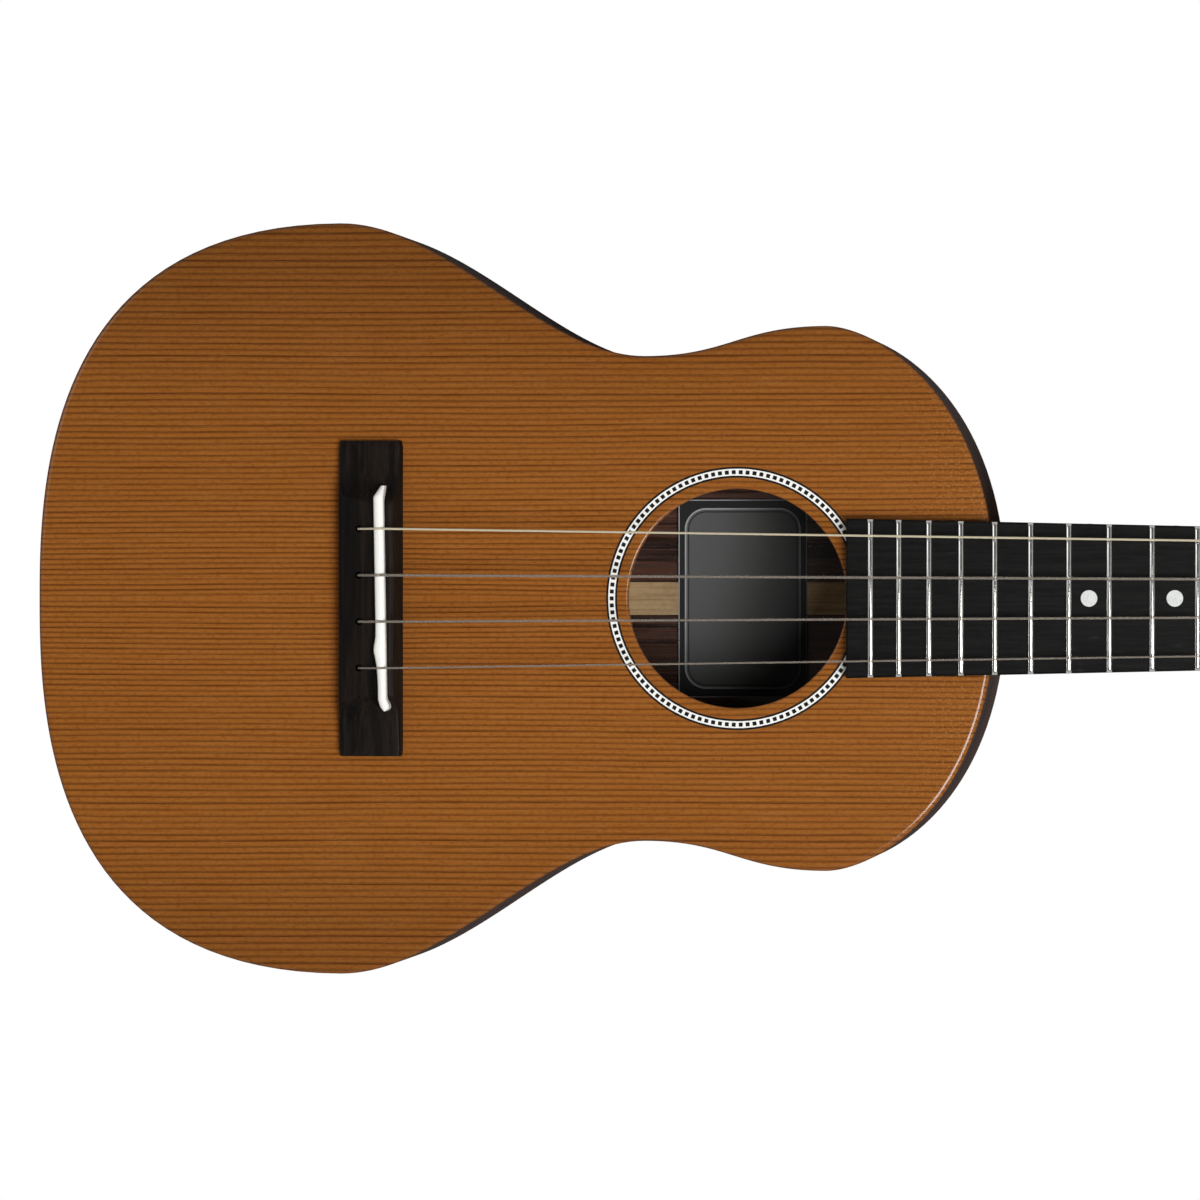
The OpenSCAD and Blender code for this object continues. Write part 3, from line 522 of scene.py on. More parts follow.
def mahogany():
    """Straight-grained mahogany under a satin finish."""
    f = Finish("mahogany", Coat_Weight=0.25, Coat_Roughness=0.25)
    band = f.grain((0.008, 0.14, 0.14), detail=3.0, roughness=0.55, distortion=0.5)
    ribbon = f.grain((0.03, 0.5, 0.5), detail=4.0, roughness=0.65)
    pores = f.grain((0.35, 5.0, 5.0), detail=1.0)
    wood = f.mix(f.fit(band, 0.35, 0.65), (0.155, 0.052, 0.022), (0.265, 0.098, 0.042))
    wood = f.tinge(wood, ribbon, 0.35, 0.7, 0.5, (0.115, 0.036, 0.015))
    pore = f.fit(pores, 0.60, 0.68)
    wood = f.mix(f.maths("MULTIPLY", pore, 0.65), wood, (0.035, 0.010, 0.005))
    rough = f.fit(ribbon, 0.2, 0.8, 0.32, 0.46)
    return f.paint(wood, rough, f.maths("SUBTRACT", ribbon, pore), depth=0.05, strength=0.35)


def pale_wood(name, light, dark):
    """Bare light wood with thin grain lines."""
    f = Finish(name, Roughness=0.7, Specular_IOR_Level=0.25)
    lines = f.grain((0.02, 0.9, 0.9), detail=4.0, roughness=0.6)
    fuzz = f.grain((0.7, 0.7, 0.7), detail=4.0, roughness=0.7)
    wood = f.mix(f.fit(lines, 0.35, 0.7), light, dark)
    wood = f.tinge(wood, fuzz, 0.4, 0.75, 0.35, tuple(0.6 * c for c in dark))
    return f.paint(wood, f.fit(fuzz, 0.2, 0.8, 0.6, 0.8), lines, depth=0.06, strength=0.5)


def smooth_bone():
    """Polished bone: cream, with faint clouds and the odd pore."""
    f = Finish("bone", Subsurface_Weight=0.15, Coat_Weight=0.3, Coat_Roughness=0.1)
    f.shader.inputs["Subsurface Radius"].default_value = (0.002, 0.0015, 0.001)
    cloud = f.noise(f.at, scale=0.12, detail=3.0)
    pores = f.grain((2.5, 0.6, 2.5), detail=2.0)
    tint = f.mix(cloud, (0.95, 0.945, 0.91), (0.88, 0.865, 0.80))
    tint = f.tinge(tint, pores, 0.66, 0.76, 0.3, (0.55, 0.48, 0.36))
    return f.paint(tint, f.fit(cloud, 0.2, 0.8, 0.22, 0.34), pores, depth=0.02, strength=0.3)


def pearl(name, scale=0.5, roughness=0.12):
    """Mother-of-pearl: soft waves of grey, green and rose in white."""
    f = Finish(name, Coat_Weight=0.8, Coat_Roughness=0.04, Roughness=roughness, Metallic=0.15)
    wave = f.noise(f.at, scale=scale, detail=3.0, distortion=2.2)
    fine = f.grain((1.0, 0.35, 1.0), scale=1.4 * scale, detail=3.0, distortion=3.0)
    grey, green, rose, blue = (0.50, 0.52, 0.52), (0.80, 0.83, 0.80), (0.90, 0.88, 0.86), (0.70, 0.76, 0.74)
    stops = (0.30, grey), (0.42, green), (0.52, rose), (0.62, blue)
    tint = f.mix(0.45, f.ramp(wave, *stops), f.ramp(fine, *stops))
    return f.paint(tint, f.fit(fine, 0.2, 0.8, roughness, roughness + 0.1), wave, depth=0.02, strength=0.2)


def metal(name, colour, low, high, along=(1.0, 1.0, 1.0), relief=0.25):
    """Plated or cut metal with a little wear in its polish."""
    f = Finish(name, Metallic=1.0)
    wear = f.noise(f.at, scale=0.35, detail=5.0, roughness=0.65)
    brush = f.grain(along, scale=2.2, detail=3.0)
    grime = tuple(a * b for a, b in zip(colour, (0.5, 0.44, 0.36)))
    tint = f.tinge(colour, wear, 0.58, 0.85, 0.5, grime)
    rough = f.maths("ADD", f.fit(wear, 0.3, 0.75, low, high), f.maths("MULTIPLY", brush, 0.06))
    return f.paint(tint, rough, brush, depth=0.006, strength=relief)


def lacquer(name, colour, roughness=0.25, coat=0.5, shine=0.5):
    """Inlay under the top's lacquer, with slight unevenness."""
    f = Finish(name, Coat_Weight=coat, Coat_Roughness=0.05, Specular_IOR_Level=shine)
    cloud = f.noise(f.at, scale=1.2, detail=3.0)
    tint = f.mix(cloud, colour, tuple(0.9 * c for c in colour))
    return f.paint(tint, f.fit(cloud, 0.2, 0.8, roughness, roughness + 0.12), cloud, depth=0.01, strength=0.2)


def carbon_rod():
    f = Finish("carbon", Roughness=0.4)
    weave = f.add("ShaderNodeTexWave", {"Vector": f.at, "Scale": 0.9, "Distortion": 1.0}).outputs[1]
    tint = f.mix(weave, (0.012, 0.012, 0.013), (0.035, 0.035, 0.037))
    return f.paint(tint, f.fit(weave, 0.0, 1.0, 0.3, 0.5), weave, depth=0.02, strength=0.3)


def polymer_string(name, colour, clear=0.25, coat=0.5):
    """Smooth drawn polymer, slightly clear."""
    f = Finish(name, Transmission_Weight=clear, IOR=1.42, Coat_Weight=coat, Coat_Roughness=0.08)
    bands = f.grain((0.25, 2.0, 2.0), detail=3.0)
    tint = f.mix(bands, colour, tuple(0.75 * c for c in colour))
    return f.paint(tint, f.fit(bands, 0.2, 0.8, 0.18, 0.3), bands, depth=0.01, strength=0.2)


label_low, label_high = span("label")
label_mid = (label_low + label_high) / 2
label_half = (label_high - label_low) / 2


def label_paper():
    """A blank sheet: a dark plain border with fine frame lines round a field with round corners. The field is painted
    grey, with painted shade that deepens towards +x, and the pale lines fade the same way.
    """
    f = Finish("label_paper", Specular_IOR_Level=0.3)
    x, y, _ = f.split(f.at)
    corner = 6.5
    across = f.maths("SUBTRACT", x, label_mid.x)
    along = f.maths("SUBTRACT", y, label_mid.y)
    px, py = f.maths("ABSOLUTE", across), f.maths("ABSOLUTE", along)
    qx = f.maths("SUBTRACT", px, label_half.x - 2.6 - corner)
    qy = f.maths("SUBTRACT", py, label_half.y - 3.3 - corner)
    out_x = f.maths("MAXIMUM", qx, 0.0)
    out_y = f.maths("MAXIMUM", qy, 0.0)
    out = f.maths("SQRT", f.maths("ADD", f.maths("MULTIPLY", out_x, out_x), f.maths("MULTIPLY", out_y, out_y)))
    inside = f.maths("MINIMUM", f.maths("MAXIMUM", qx, qy), 0.0)
    away = f.maths("SUBTRACT", f.maths("ADD", out, inside), corner)
    edge = f.maths("MINIMUM", f.maths("SUBTRACT", label_half.x, px), f.maths("SUBTRACT", label_half.y, py))
    # Painted shade: one ramp darkens the field and the pale print from the -x end to the +x end, and a little towards
    # -y.
    fade = f.maths("SUBTRACT", f.fit(x, label_low.x, label_high.x), f.fit(y, label_low.y, label_high.y, 0.0, 0.3))
    shaded_field = f.ramp(fade, (0.0, 0.10), (0.3, (0.075, 0.075, 0.073)), (0.6, (0.042, 0.042, 0.041)), (1.0, 0.016))
    light = f.ramp(fade, (0.0, 0.40), (1.0, 0.05))
    print_dark = (0.006, 0.006, 0.006)
    sheet = f.mix(f.fit(away, -0.05, 0.05), shaded_field, print_dark)
    for place, width, tone in ((-0.75, 0.13, print_dark), (0.25, 0.2, light)):
        line = f.maths("ABSOLUTE", f.maths("SUBTRACT", away, place))
        sheet = f.mix(f.fit(line, width, width + 0.1, 1.0, 0.0), sheet, tone)
    sheet = f.mix(f.fit(edge, 0.3, 0.4, 1.0, 0.0), sheet, light)
    fibre = f.noise(f.at, scale=1.6, detail=4.0)
    return f.paint(sheet, f.fit(fibre, 0.2, 0.8, 0.45, 0.6), fibre, depth=0.02, strength=0.3)


cedar = cedar_top()
side_wood = rosewood("rosewood_sides", (0.03, 0.03, 1.0), coat=0.15, shine=0.2)
back_wood = rosewood("rosewood_back", (0.03, 1.0, 1.0), (0.008, 0.004, 0.003), (0.085, 0.034, 0.02))
bridge_tones = (0.0022, 0.0016, 0.0012), (0.013, 0.0085, 0.006)
bridge_wood = rosewood("rosewood_bridge", (1.0, 0.05, 1.0), *bridge_tones, gloss=0.4, coat=0.0, shine=0.1)
graft_wood = rosewood("rosewood_graft", (1.0, 1.0, 0.04), (0.03, 0.014, 0.008), (0.16, 0.07, 0.04))
ebony_black = ebony()
neck_wood = mahogany()
block_wood = pale_wood("block_wood", (0.50, 0.33, 0.17), (0.36, 0.21, 0.10))
strip_wood = pale_wood("strip_wood", (0.44, 0.30, 0.155), (0.30, 0.19, 0.09))
brace_wood = pale_wood("brace_wood", (0.66, 0.48, 0.28), (0.48, 0.31, 0.15))
bone = smooth_bone()
dot_pearl = pearl("dot_pearl")
button_pearl = pearl("button_pearl", scale=0.16, roughness=0.2)
inlay_white = lacquer("inlay_white", (0.93, 0.92, 0.88))
inlay_black = lacquer("inlay_black", (0.003, 0.003, 0.003), 0.4, coat=0.0, shine=0.15)
fret_metal = metal("fret_metal", (0.80, 0.79, 0.76), 0.10, 0.18, (1.0, 0.15, 1.0), relief=0.05)
nickel = metal("nickel", (0.74, 0.72, 0.68), 0.14, 0.32)
brass = metal("brass", (0.72, 0.50, 0.20), 0.24, 0.42)
bolt_steel = metal("bolt_steel", (0.52, 0.52, 0.54), 0.28, 0.45)
carbon = carbon_rod()
clear_string = polymer_string("clear_string", (0.50, 0.44, 0.37), clear=0.65, coat=0.0)
pale_string = polymer_string("pale_string", (0.78, 0.70, 0.50))
paper = label_paper()


# ---- The body's shell ----

rosette_w, rosette_line = 3.5, 0.65
rosette_out = span("rosette_lines")[1].y
rosette_in = rosette_out - rosette_w
rosette_floor = span("rosette_lines")[0].z
edge_round = 1.6


def ring_like(line, radius, z):
    """A circle round the soundhole with a point beside each point of the outline."""
    return [(*(Vector(p).normalized() * radius), z) for p in line]


def rounded_edge(radius, z, way, steps=5):
    """Insets and heights of a rounded edge, from the side's face on to the plate's face."""
    turn = [math.pi / 2 * i / steps for i in range(steps + 1)]
    return [(radius * (1 - math.cos(a)), z - way * radius * (1 - math.sin(a))) for a in turn]


def soundboard():
    line = body_line()
    rings = [at_height(line, inside_z)]
    rings += [at_height(body_line(into), z) for into, z in rounded_edge(edge_round, top_z, 1)]
    rings.append(at_height(body_line(edge_round + 0.5), top_z))
    steps = [(rosette_out + 0.3, top_z), (rosette_out, top_z), (rosette_out, rosette_floor)]
    steps += [(rosette_in, rosette_floor), (rosette_in, top_z), (rosette_in - 0.3, top_z)]
    steps += [(soundhole_r + into, z) for into, z in reversed(rounded_edge(0.7, top_z, 1))]
    steps += [(soundhole_r, inside_z)]
    rings += [ring_like(line, radius, z) for radius, z in steps]
    piece("cedar_soundboard", loft(rings, loop=True), cedar, "soundboard")


def back():
    rings = [at_height(body_line(edge_round + 0.5), 0.0)]
    rings += [at_height(body_line(into), z) for into, z in reversed(rounded_edge(edge_round, 0.0, -1))]
    rings += [at_height(body_line(0.0), back_top), at_height(body_line(3.0), back_top)]
    piece("back", loft(rings), back_wood, "back_plate")


graft_half = span("end_graft")[1].y


def side_band(line, face, z0, z1):
    """A bent strip: its cross-section at each point of a line, with its inner face set in by side_t."""
    rings = []
    for p, q in zip(line, face):
        rings.append([(p.x, p.y, z0), (p.x, p.y, z1), (q.x, q.y, z1), (q.x, q.y, z0)])
    return loft(rings)


def sides():
    outer, inner = body_half(0.0, 60), body_half(side_t, 60)
    start = next(i for i, p in enumerate(outer) if p.y > graft_half)
    share = (graft_half - outer[start - 1].y) / (outer[start].y - outer[start - 1].y)
    edge = [line[start - 1].lerp(line[start], share) for line in (outer, inner)]
    runs = [[edge[0]] + outer[start:], [edge[1]] + inner[start:]]
    for name, sign in (("bass_side", 1), ("treble_side", -1)):
        line, face = ([Vector((p.x, sign * p.y)) for p in run] for run in runs)
        piece("bent_" + name, side_band(line, face, back_top, inside_z), side_wood, name)
    graft = [outer[:start] + [edge[0]], inner[:start] + [edge[1]]]
    line, face = ([Vector((p.x, -p.y)) for p in run[:0:-1]] + run for run in graft)
    piece("tail_graft", side_band(line, face, back_top, inside_z), graft_wood, "end_graft")


# ---- The rosette ----


def rosette_ring(r0, r1):
    z0, z1 = rosette_floor, top_z
    profile = [(r0, z0), (r1, z0), (r1, z1), (r0, z1)]
    return loft([at_height(circle(r, 240), z) for r, z in profile], loop=True)


def rosette():
    band = (rosette_in + rosette_line, rosette_out - rosette_line)
    rings = joined(rosette_ring(rosette_in, band[0]), rosette_ring(band[1], rosette_out))
    piece("rosette_fine_lines", rings, inlay_black, "rosette_lines")
    piece("rosette_pale_band", rosette_ring(*band), inlay_white, "rosette_band")
    middle = sum(band) / 2
    count = 114
    size = 1.15 * math.pi * middle / count
    square = slab(rounded_line(size / 2, size / 2, 0.12, 2), -0.3, 0.02, 0.02, 0.02, 2)
    dots = raw("rosette_dark_squares", square)
    row = Pattern("rosette_row", Squares=count, Radius=middle * MM, Height=top_z * MM)
    spots, index = row.points(row.size("Squares"))
    angle = row.maths("DIVIDE", row.maths("MULTIPLY", index, math.tau), row.size("Squares"))
    x = row.maths("MULTIPLY", row.maths("COSINE", angle), row.size("Radius"))
    y = row.maths("MULTIPLY", row.maths("SINE", angle), row.size("Radius"))
    set_out = row.add("GeometryNodeSetPosition", {0: spots, "Position": row.vector(x, y, row.size("Height"))})
    turn = row.add("FunctionNodeEulerToRotation", {0: row.vector(z=angle)}).outputs[0]
    row.grow(dots, row.copies(set_out.outputs[0], row.size("Geometry"), Rotation=turn), inlay_black)
    piece("rosette_dark_squares", dots, inlay_black, "rosette_squares")


# ---- The bridge and the saddle ----

bridge_low, bridge_high = span("bridge")
saddle_low, saddle_high = span("saddle")
saddle_set, hole_set = 6.2, 7.4
saddle_x = bridge_high.x - saddle_set
saddle_slant = math.radians(0.95)
hole_x = saddle_x - hole_set
string_step = 14.9
nut_step = 10.45
string_place = {"g": 1.5, "c": 0.5, "e": -0.5, "a": -1.5}
string_radius = {"g": 0.36, "c": 0.44, "e": 0.40, "a": 0.32}


def bridge():
    """The block in the middle falls in a quick curve to thin wings, and its back slopes down from the holes."""
    height = bridge_high.z - top_z
    back_height, wing_height = 4.4, 2.2
    block_half, wing_half = 31.5, bridge_high.y
    wing = wing_half - block_half
    ramp = hole_x - bridge_low.x + 1.0
    soft = 0.5
    curve = (
        (block_half, height),
        (block_half + 0.1 * wing, wing_height + 1.2),
        (block_half + 0.35 * wing, wing_height + 0.3),
        (wing_half, wing_height),
    )
    stations = [(0.0, height), (block_half - 1.5, height), (block_half - 0.5, height - 0.06)]
    stations += [tuple(bezier(curve, t)) for t in [0.04 + 0.96 * (i / 24) ** 1.3 for i in range(25)]]
    rings = []
    for y, h in [(-y, h) for y, h in reversed(stations[1:])] + stations:
        back_h = min(back_height, h)
        start = bridge_low.x + max(2.4, ramp * (h - back_h) / (height - back_height))
        lean = 3.0 * h / height
        pull = 0.35 if abs(y) > wing_half - 0.01 else 0.0
        front, rear = bridge_high.x - pull, bridge_low.x
        section = [
            (front - 0.8 * lean, h - soft),
            (front - lean, h - 0.4 * soft),
            (front - lean - 0.3 * soft, h - 0.12 * soft),
            (front - lean - 0.8 * soft, h),
            (front - lean - 2 * soft, h),
            (start + 0.8, h),
            (start, h - 0.12),
            (start - 0.8, max(back_h, h - 0.5)),
            (rear + 3 * soft, min(h, back_h + 0.6)),
            (rear + soft, back_h - 0.05),
            (rear + 0.15 * soft + pull, back_h - 0.45 * soft),
            (rear + pull, back_h - soft),
        ]
        ring = [(x, y, top_z + z - pull) for x, z in section]
        rings.append([(front, y, top_z), *ring, (rear + pull, y, top_z)])
    body = raw("bridge_block", loft(rings), bridge_wood)
    hole_r, flare_r = 1.05, 1.9
    bore = [(0.0, -0.5), (hole_r, -0.5), (hole_r, height - 0.7), (flare_r, height + 0.3), (0.0, height + 0.3)]
    spots = [Matrix.Translation((hole_x, place * string_step, top_z)) for place in string_place.values()]
    holes = [moved(turned(bore, 24), spot) for spot in spots]
    carved(body, joined(*holes))
    piece("bridge_block", body, bridge_wood, "bridge")


def saddle():
    """A hand-filed saddle: a bump for one string's length, a cut corner at one end and a bulb at the other."""
    floor = saddle_low.z
    crown = saddle_high.z
    half = 1.6
    reach = saddle_high.y
    frame_at = Matrix.Translation((saddle_x, 0, 0)) @ Matrix.Rotation(saddle_slant, 4, "Z")
    rings = []
    count = 96
    for i in range(count + 1):
        y = reach - 2 * reach * i / count
        left, right = -half, half
        bump = math.exp(-(((y + 16.5) / 3.0) ** 2))
        left -= 0.7 * bump
        thin = 1 / (1 + math.exp((y + 23.0) / 1.6))
        left += 0.45 * thin
        top_end = max(0.0, (y - (reach - 3.6)) / 3.6)
        left += 2.3 * top_end
        right += 0.35 * top_end
        foot = max(0.0, (-y - (reach - 3.8)) / 3.8)
        left += 0.9 * foot
        right += 0.9 * math.sin(foot * math.pi * 0.62) - 1.3 * foot**6
        left += 0.9 * foot**5
        peak = crown - 2.4 * top_end**1.5 - 1.2 * foot**3
        middle, wide = (left + right) / 2, max(0.15, (right - left) / 2)
        soft = min(wide, 1.15)
        ring = [(middle - wide, y, floor), (middle - wide, y, peak - soft - 0.3)]
        for k in range(13):
            a = math.pi * (1 - k / 12)
            ring.append((middle + wide * math.cos(a), y, peak - soft + soft * math.sin(a)))
        ring += [(middle + wide, y, peak - soft - 0.3), (middle + wide, y, floor)]
        rings.append([tuple(frame_at @ Vector(p)) for p in ring])
    piece("filed_saddle", loft(rings), bone, "saddle")


# ---- The fretboard ----


def fretboard():
    line = [
        Vector((board_end_x, -board_half_end)),
        Vector((nut_x, -nut_half)),
        Vector((nut_x, nut_half)),
        Vector((board_end_x, board_half_end)),
    ]
    piece("ebony_board", slab(line, top_z, board_z, 0.55, 0.05, 4), ebony_black, "fretboard")


crown_w, crown_h, tang_w, tang_d = 1.9, 1.0, 0.6, 2.0


def one_fret(half):
    """A crown with bevelled ends over a tang."""
    rings = []
    bevel = [(0.95, 0.0), (0.965, 0.1), (0.985, 0.45), (1.0, 0.8)]
    for share, drop in [(-share, drop) for share, drop in reversed(bevel)] + bevel:
        y = share * half
        crown = []
        for k in range(15):
            a = math.pi * k / 14
            crown.append((crown_w / 2 * math.cos(a), y, crown_h * math.sin(a) * (1 - drop)))
        foot = [(-tang_w / 2, y, 0.0), (-tang_w / 2, y, -tang_d), (tang_w / 2, y, -tang_d), (tang_w / 2, y, 0.0)]
        rings.append(crown + foot)
    return loft(rings)


def fret_row():
    """Each fret stands where the scale's rule puts it, as wide as the board there."""
    half_of_one = board_half(fret_x(frets // 2))
    wire = raw("fret_wires", one_fret(half_of_one - 0.1))
    row = Pattern(
        "fret_row",
        Frets=frets,
        Scale_length=scale_length * MM,
        Nut=nut_x * MM,
        Top=board_z * MM,
        Half_at_nut=nut_half * MM,
        Spread=(board_half_end - nut_half) / (nut_x - board_end_x),
        Half_of_one=half_of_one * MM,
    )
    spots, index = row.points(row.size("Frets"))
    octave = row.maths("DIVIDE", row.maths("ADD", index, 1.0), -12.0)
    away = row.maths("MULTIPLY", row.size("Scale_length"), row.maths("SUBTRACT", 1.0, row.maths("POWER", 2.0, octave)))
    half = row.maths("ADD", row.size("Half_at_nut"), row.maths("MULTIPLY", away, row.size("Spread")))
    place = row.vector(row.maths("SUBTRACT", row.size("Nut"), away), 0.0, row.size("Top"))
    set_out = row.add("GeometryNodeSetPosition", {0: spots, "Position": place})
    stretch = row.vector(1.0, row.maths("DIVIDE", half, row.size("Half_of_one")), 1.0)
    row.grow(wire, row.copies(set_out.outputs[0], row.size("Geometry"), Scale=stretch), fret_metal)
    piece("fret_wires", wire, fret_metal, "frets")


def dots():
    marks = [(fret_x(n) + fret_x(n - 1)) / 2 for n in dotted_frets]
    radius = 2.65
    face = turned([(0.0, -1.5), (radius, -1.5), (radius, -0.02), (radius - 0.06, 0.04), (0.0, 0.05)], 48)
    places = [Matrix.Translation((x, 0, board_z)) for x in marks]
    piece("pearl_dots", repeated("pearl_dots", face, places, dot_pearl), dot_pearl, "position_markers")
    small = turned([(0.0, -2.0), (1.0, -2.0), (1.0, 0.0), (0.92, 0.05), (0.0, 0.06)], 32)
    side_z = board_z - 0.45 * (board_z - top_z)
    places = [Matrix.Translation((x, board_half(x), side_z)) @ Matrix.Rotation(-math.pi / 2, 4, "X") for x in marks]
    piece("side_dots", repeated("side_dots", small, places, dot_pearl), dot_pearl, "side_markers")


# ---- The headstock's frame, and each tuner's ----

posts = {}
keys = {}
for joint in frame["joints"]:
    kind, _, letter = joint["name"].rpartition("_")
    if kind == "post_turn":
        posts[letter] = Vector(joint["pos_m"]) / MM
        head_normal = Vector(joint["axis"])
    else:
        keys[letter] = Vector(joint["pos_m"]) / MM
head_way = Vector((0, 1, 0)).cross(head_normal)
head_t = 12.5
veneer_t = 1.5
sleeve_r = 4.25


def axes(x, y, z, place):
    return Matrix.Translation(place) @ Matrix((x, y, z)).transposed().to_4x4()


head_frame = axes(head_way, Vector((0, 1, 0)), head_normal, (head_x, 0, top_z))


def side_of(letter):
    return 1 if posts[letter].y > 0 else -1


def post_frame(letter):
    """The tuner's own frame: Z up its post and Y away from the centreline."""
    return axes(head_way, Vector((0, side_of(letter), 0)), head_normal, posts[letter])


def worm_frame(letter):
    """The worm's own frame: Z down its shaft to the button."""
    out = Vector((0, side_of(letter), 0))
    return axes(head_way, -head_normal, out, keys[letter])


# ---- The neck ----

heel_len, heel_w, heel_flare = 18.0, 27.0, 28.0
neck_depth_nut, neck_depth_heel = 12.5, 15.5
heel_foot = back_top
heel_sunk, heel_round = 3.0, 0.8
square_end = 16.0


def heel_half(x, z):
    """Half of the heel's width at a height, or 0 in front of it."""
    u = min(1.0, max(0.0, (z - heel_foot) / (top_z - heel_foot)))
    reach = heel_len + 2 * u + heel_flare * u**5
    ahead = (x - joint_x + heel_sunk) / (reach + heel_sunk)
    if ahead >= 1:
        return 0.0
    wide = heel_w + (2 * board_half(joint_x) - heel_w) * u**0.9
    return wide / 2 * (1 - ahead ** (2 / heel_round)) ** (heel_round / 2)


def heel_reach(x, a):
    """Distance from the neck's top centre to the heel's skin, at an angle below the board."""
    low, high = 0.0, min(60.0, (top_z - heel_foot) / max(math.sin(a), 1e-6))
    if heel_half(x, top_z - 0.01 * math.sin(a)) <= 0.01 * math.cos(a):
        return 0.0
    for _ in range(40):
        middle = (low + high) / 2
        inside = heel_half(x, top_z - middle * math.sin(a)) > middle * math.cos(a)
        low, high = (middle, high) if inside else (low, middle)
    return low


def neck_reach(x, a):
    share = max(0.0, (x - nut_x + square_end) / (square_end + head_x - nut_x))
    power = 2 / (1 - 0.65 * share**2 * (3 - 2 * share)) if share else 2.0
    depth = neck_depth_nut + (neck_depth_heel - neck_depth_nut) * (nut_x - x) / (nut_x - joint_x)
    wide = board_half(max(x, joint_x))
    return ((abs(math.cos(a)) / wide) ** power + (math.sin(a) / depth) ** power) ** (-1 / power)


def neck_shape():
    """The shaft and the heel flow into each other, as one skin measured outwards from the neck's top."""
    blend = 9.0
    stations = [joint_x - heel_sunk + 1.5 * i for i in range(14)]
    stations += [joint_x + 18 + 0.45 * i for i in range(12)]
    stations += [joint_x + 23.5 + 1.5 * i for i in range(18)]
    stations += [joint_x + 52 + 12.5 * i for i in range(14)]
    stations += [nut_x - square_end + (square_end + head_x - nut_x) * i / 14 for i in range(15)]
    rings = []
    sides_per_ring = 72
    for x in stations:
        ring = []
        for i in range(sides_per_ring + 1):
            a = math.pi * i / sides_per_ring
            fold = min(a, math.pi - a)
            shaft = neck_reach(x, fold)
            heel = heel_reach(x, fold) if x < joint_x + 50 else 0.0
            reach = (shaft**blend + heel**blend) ** (1 / blend) if 0.02 < fold else max(shaft, heel)
            down, across = max(math.sin(fold), 1e-6), max(math.cos(fold), 1e-6)
            reach = min(reach, (top_z - heel_foot) / down, board_half(max(x, joint_x)) / across)
            ring.append((x, reach * math.cos(a), top_z - reach * math.sin(a)))
        rings.append(ring)
    return loft(rings)


head_len = 132.0
head_half = span("headstock_veneer")[1].y
head_curves = (
    ((0, nut_half), (9, nut_half), (9, head_half - 3), (25, head_half - 2)),
    ((25, head_half - 2), (50, head_half - 1), (80, head_half), (head_len - 20, head_half)),
    ((head_len - 20, head_half), (head_len - 8, head_half), (head_len, 18), (head_len, 0)),
)


def head_line():
    half = [bezier(c, i / 20) for c in head_curves for i in range(0 if c is head_curves[0] else 1, 21)]
    return [Vector((p.x, -p.y)) for p in half] + half[-2::-1]


def post_bores(z0, z1):
    return joined(*(moved(rod(sleeve_r, z0, z1), post_frame(letter)) for letter in STRINGS))


def neck():
    wood = raw("neck_wood", neck_shape(), neck_wood)
    plate = slab(head_line(), -head_t, 0.0, 0.05, 1.6, 5)
    carved(wood, moved(plate, head_frame), "UNION")
    carved(wood, post_bores(-head_t - 2, 2.0))
    line = body_line()
    carved(wood, loft([at_height(line, -2.0), at_height(line, top_z + 2)]))
    piece("neck_wood", wood, neck_wood, "neck")
    face = raw("head_face", moved(slab(head_line(), 0.0, veneer_t, 0.5, 0.02, 4), head_frame), ebony_black)
    carved(face, post_bores(-2, 4))
    nut_room = slab(rounded_line(nut_x / 2, 40, 1, 2), top_z - 3, top_z + 9, 0.1, 0.1, 1)
    carved(face, moved(nut_room, Matrix.Translation((head_x - nut_x / 2, 0, 0))))
    piece("head_face", face, ebony_black, "headstock_veneer")
    foot = []
    for a in (math.pi * i / 32 - math.pi / 2 for i in range(33)):
        reach, wide = squarish(math.cos(a), heel_round), squarish(math.sin(a), heel_round)
        foot.append(Vector((joint_x - heel_sunk + (heel_len + heel_sunk) * reach, heel_w / 2 * wide)))
    cap = raw("heel_cap_plate", slab(foot, 0.0, back_top, 0.02, 0.6, 4), ebony_black)
    carved(cap, loft([at_height(line, -2.0), at_height(line, top_z)]))
    piece("heel_cap_plate", cap, ebony_black, "heel_cap")


def nut():
    """A bone block whose top falls away from the strings' front edge."""
    top = span("nut")[1].z
    profile = [(nut_x, top_z), (head_x, top_z), (head_x, top - 1.9), (head_x - 0.25, top - 1.5)]
    profile += [(head_x - 1.4, top - 0.55), (nut_x + 1.2, top - 0.05), (nut_x + 0.6, top), (nut_x + 0.2, top - 0.15)]
    profile += [(nut_x, top - 0.5)]
    rings = []
    for y, pull in ((-nut_half, 0.35), (-nut_half + 0.15, 0.1), (-nut_half + 0.45, 0.0)):
        rings.append([(x, y, z - (pull if z > top_z + 1 else 0)) for x, z in profile])
    rings += [[(x, -y, z) for x, y, z in ring] for ring in reversed(rings)]
    block = raw("nut_block", loft(rings), bone)
    slots = []
    for letter in STRINGS:
        start, stop = nut_spot(letter), post_spot(letter)
        radius = string_radius[letter] + 0.04
        way = (stop - start).normalized()
        side = way.cross(Vector((0, 0, 1))).normalized()
        turn = axes(way, side, way.cross(side), start - way * 3)
        groove = [arc(radius, -math.pi * k / 12) for k in range(13)]
        groove += [Vector((-radius, 5.0)), Vector((radius, 5.0))]
        rings = [[tuple(turn @ Vector((x, p.x, -p.y))) for p in groove] for x in (0.0, 12.0)]
        slots.append(loft(rings))
    carved(block, joined(*slots))
    piece("nut_block", block, bone, "nut")


# ---- The strings ----

nut_string_z = board_z + crown_h + 0.3
post_r = 3.0
collar_h = 1.2
wind_z = veneer_t + collar_h + 1.5
post_hole_z = veneer_t + 7.4
crown_z = saddle_high.z


def nylon(letter):
    """A string's material and its slot: one of the four is paler."""
    return (pale_string, "string_pale") if letter == "g" else (clear_string, "string_clear")


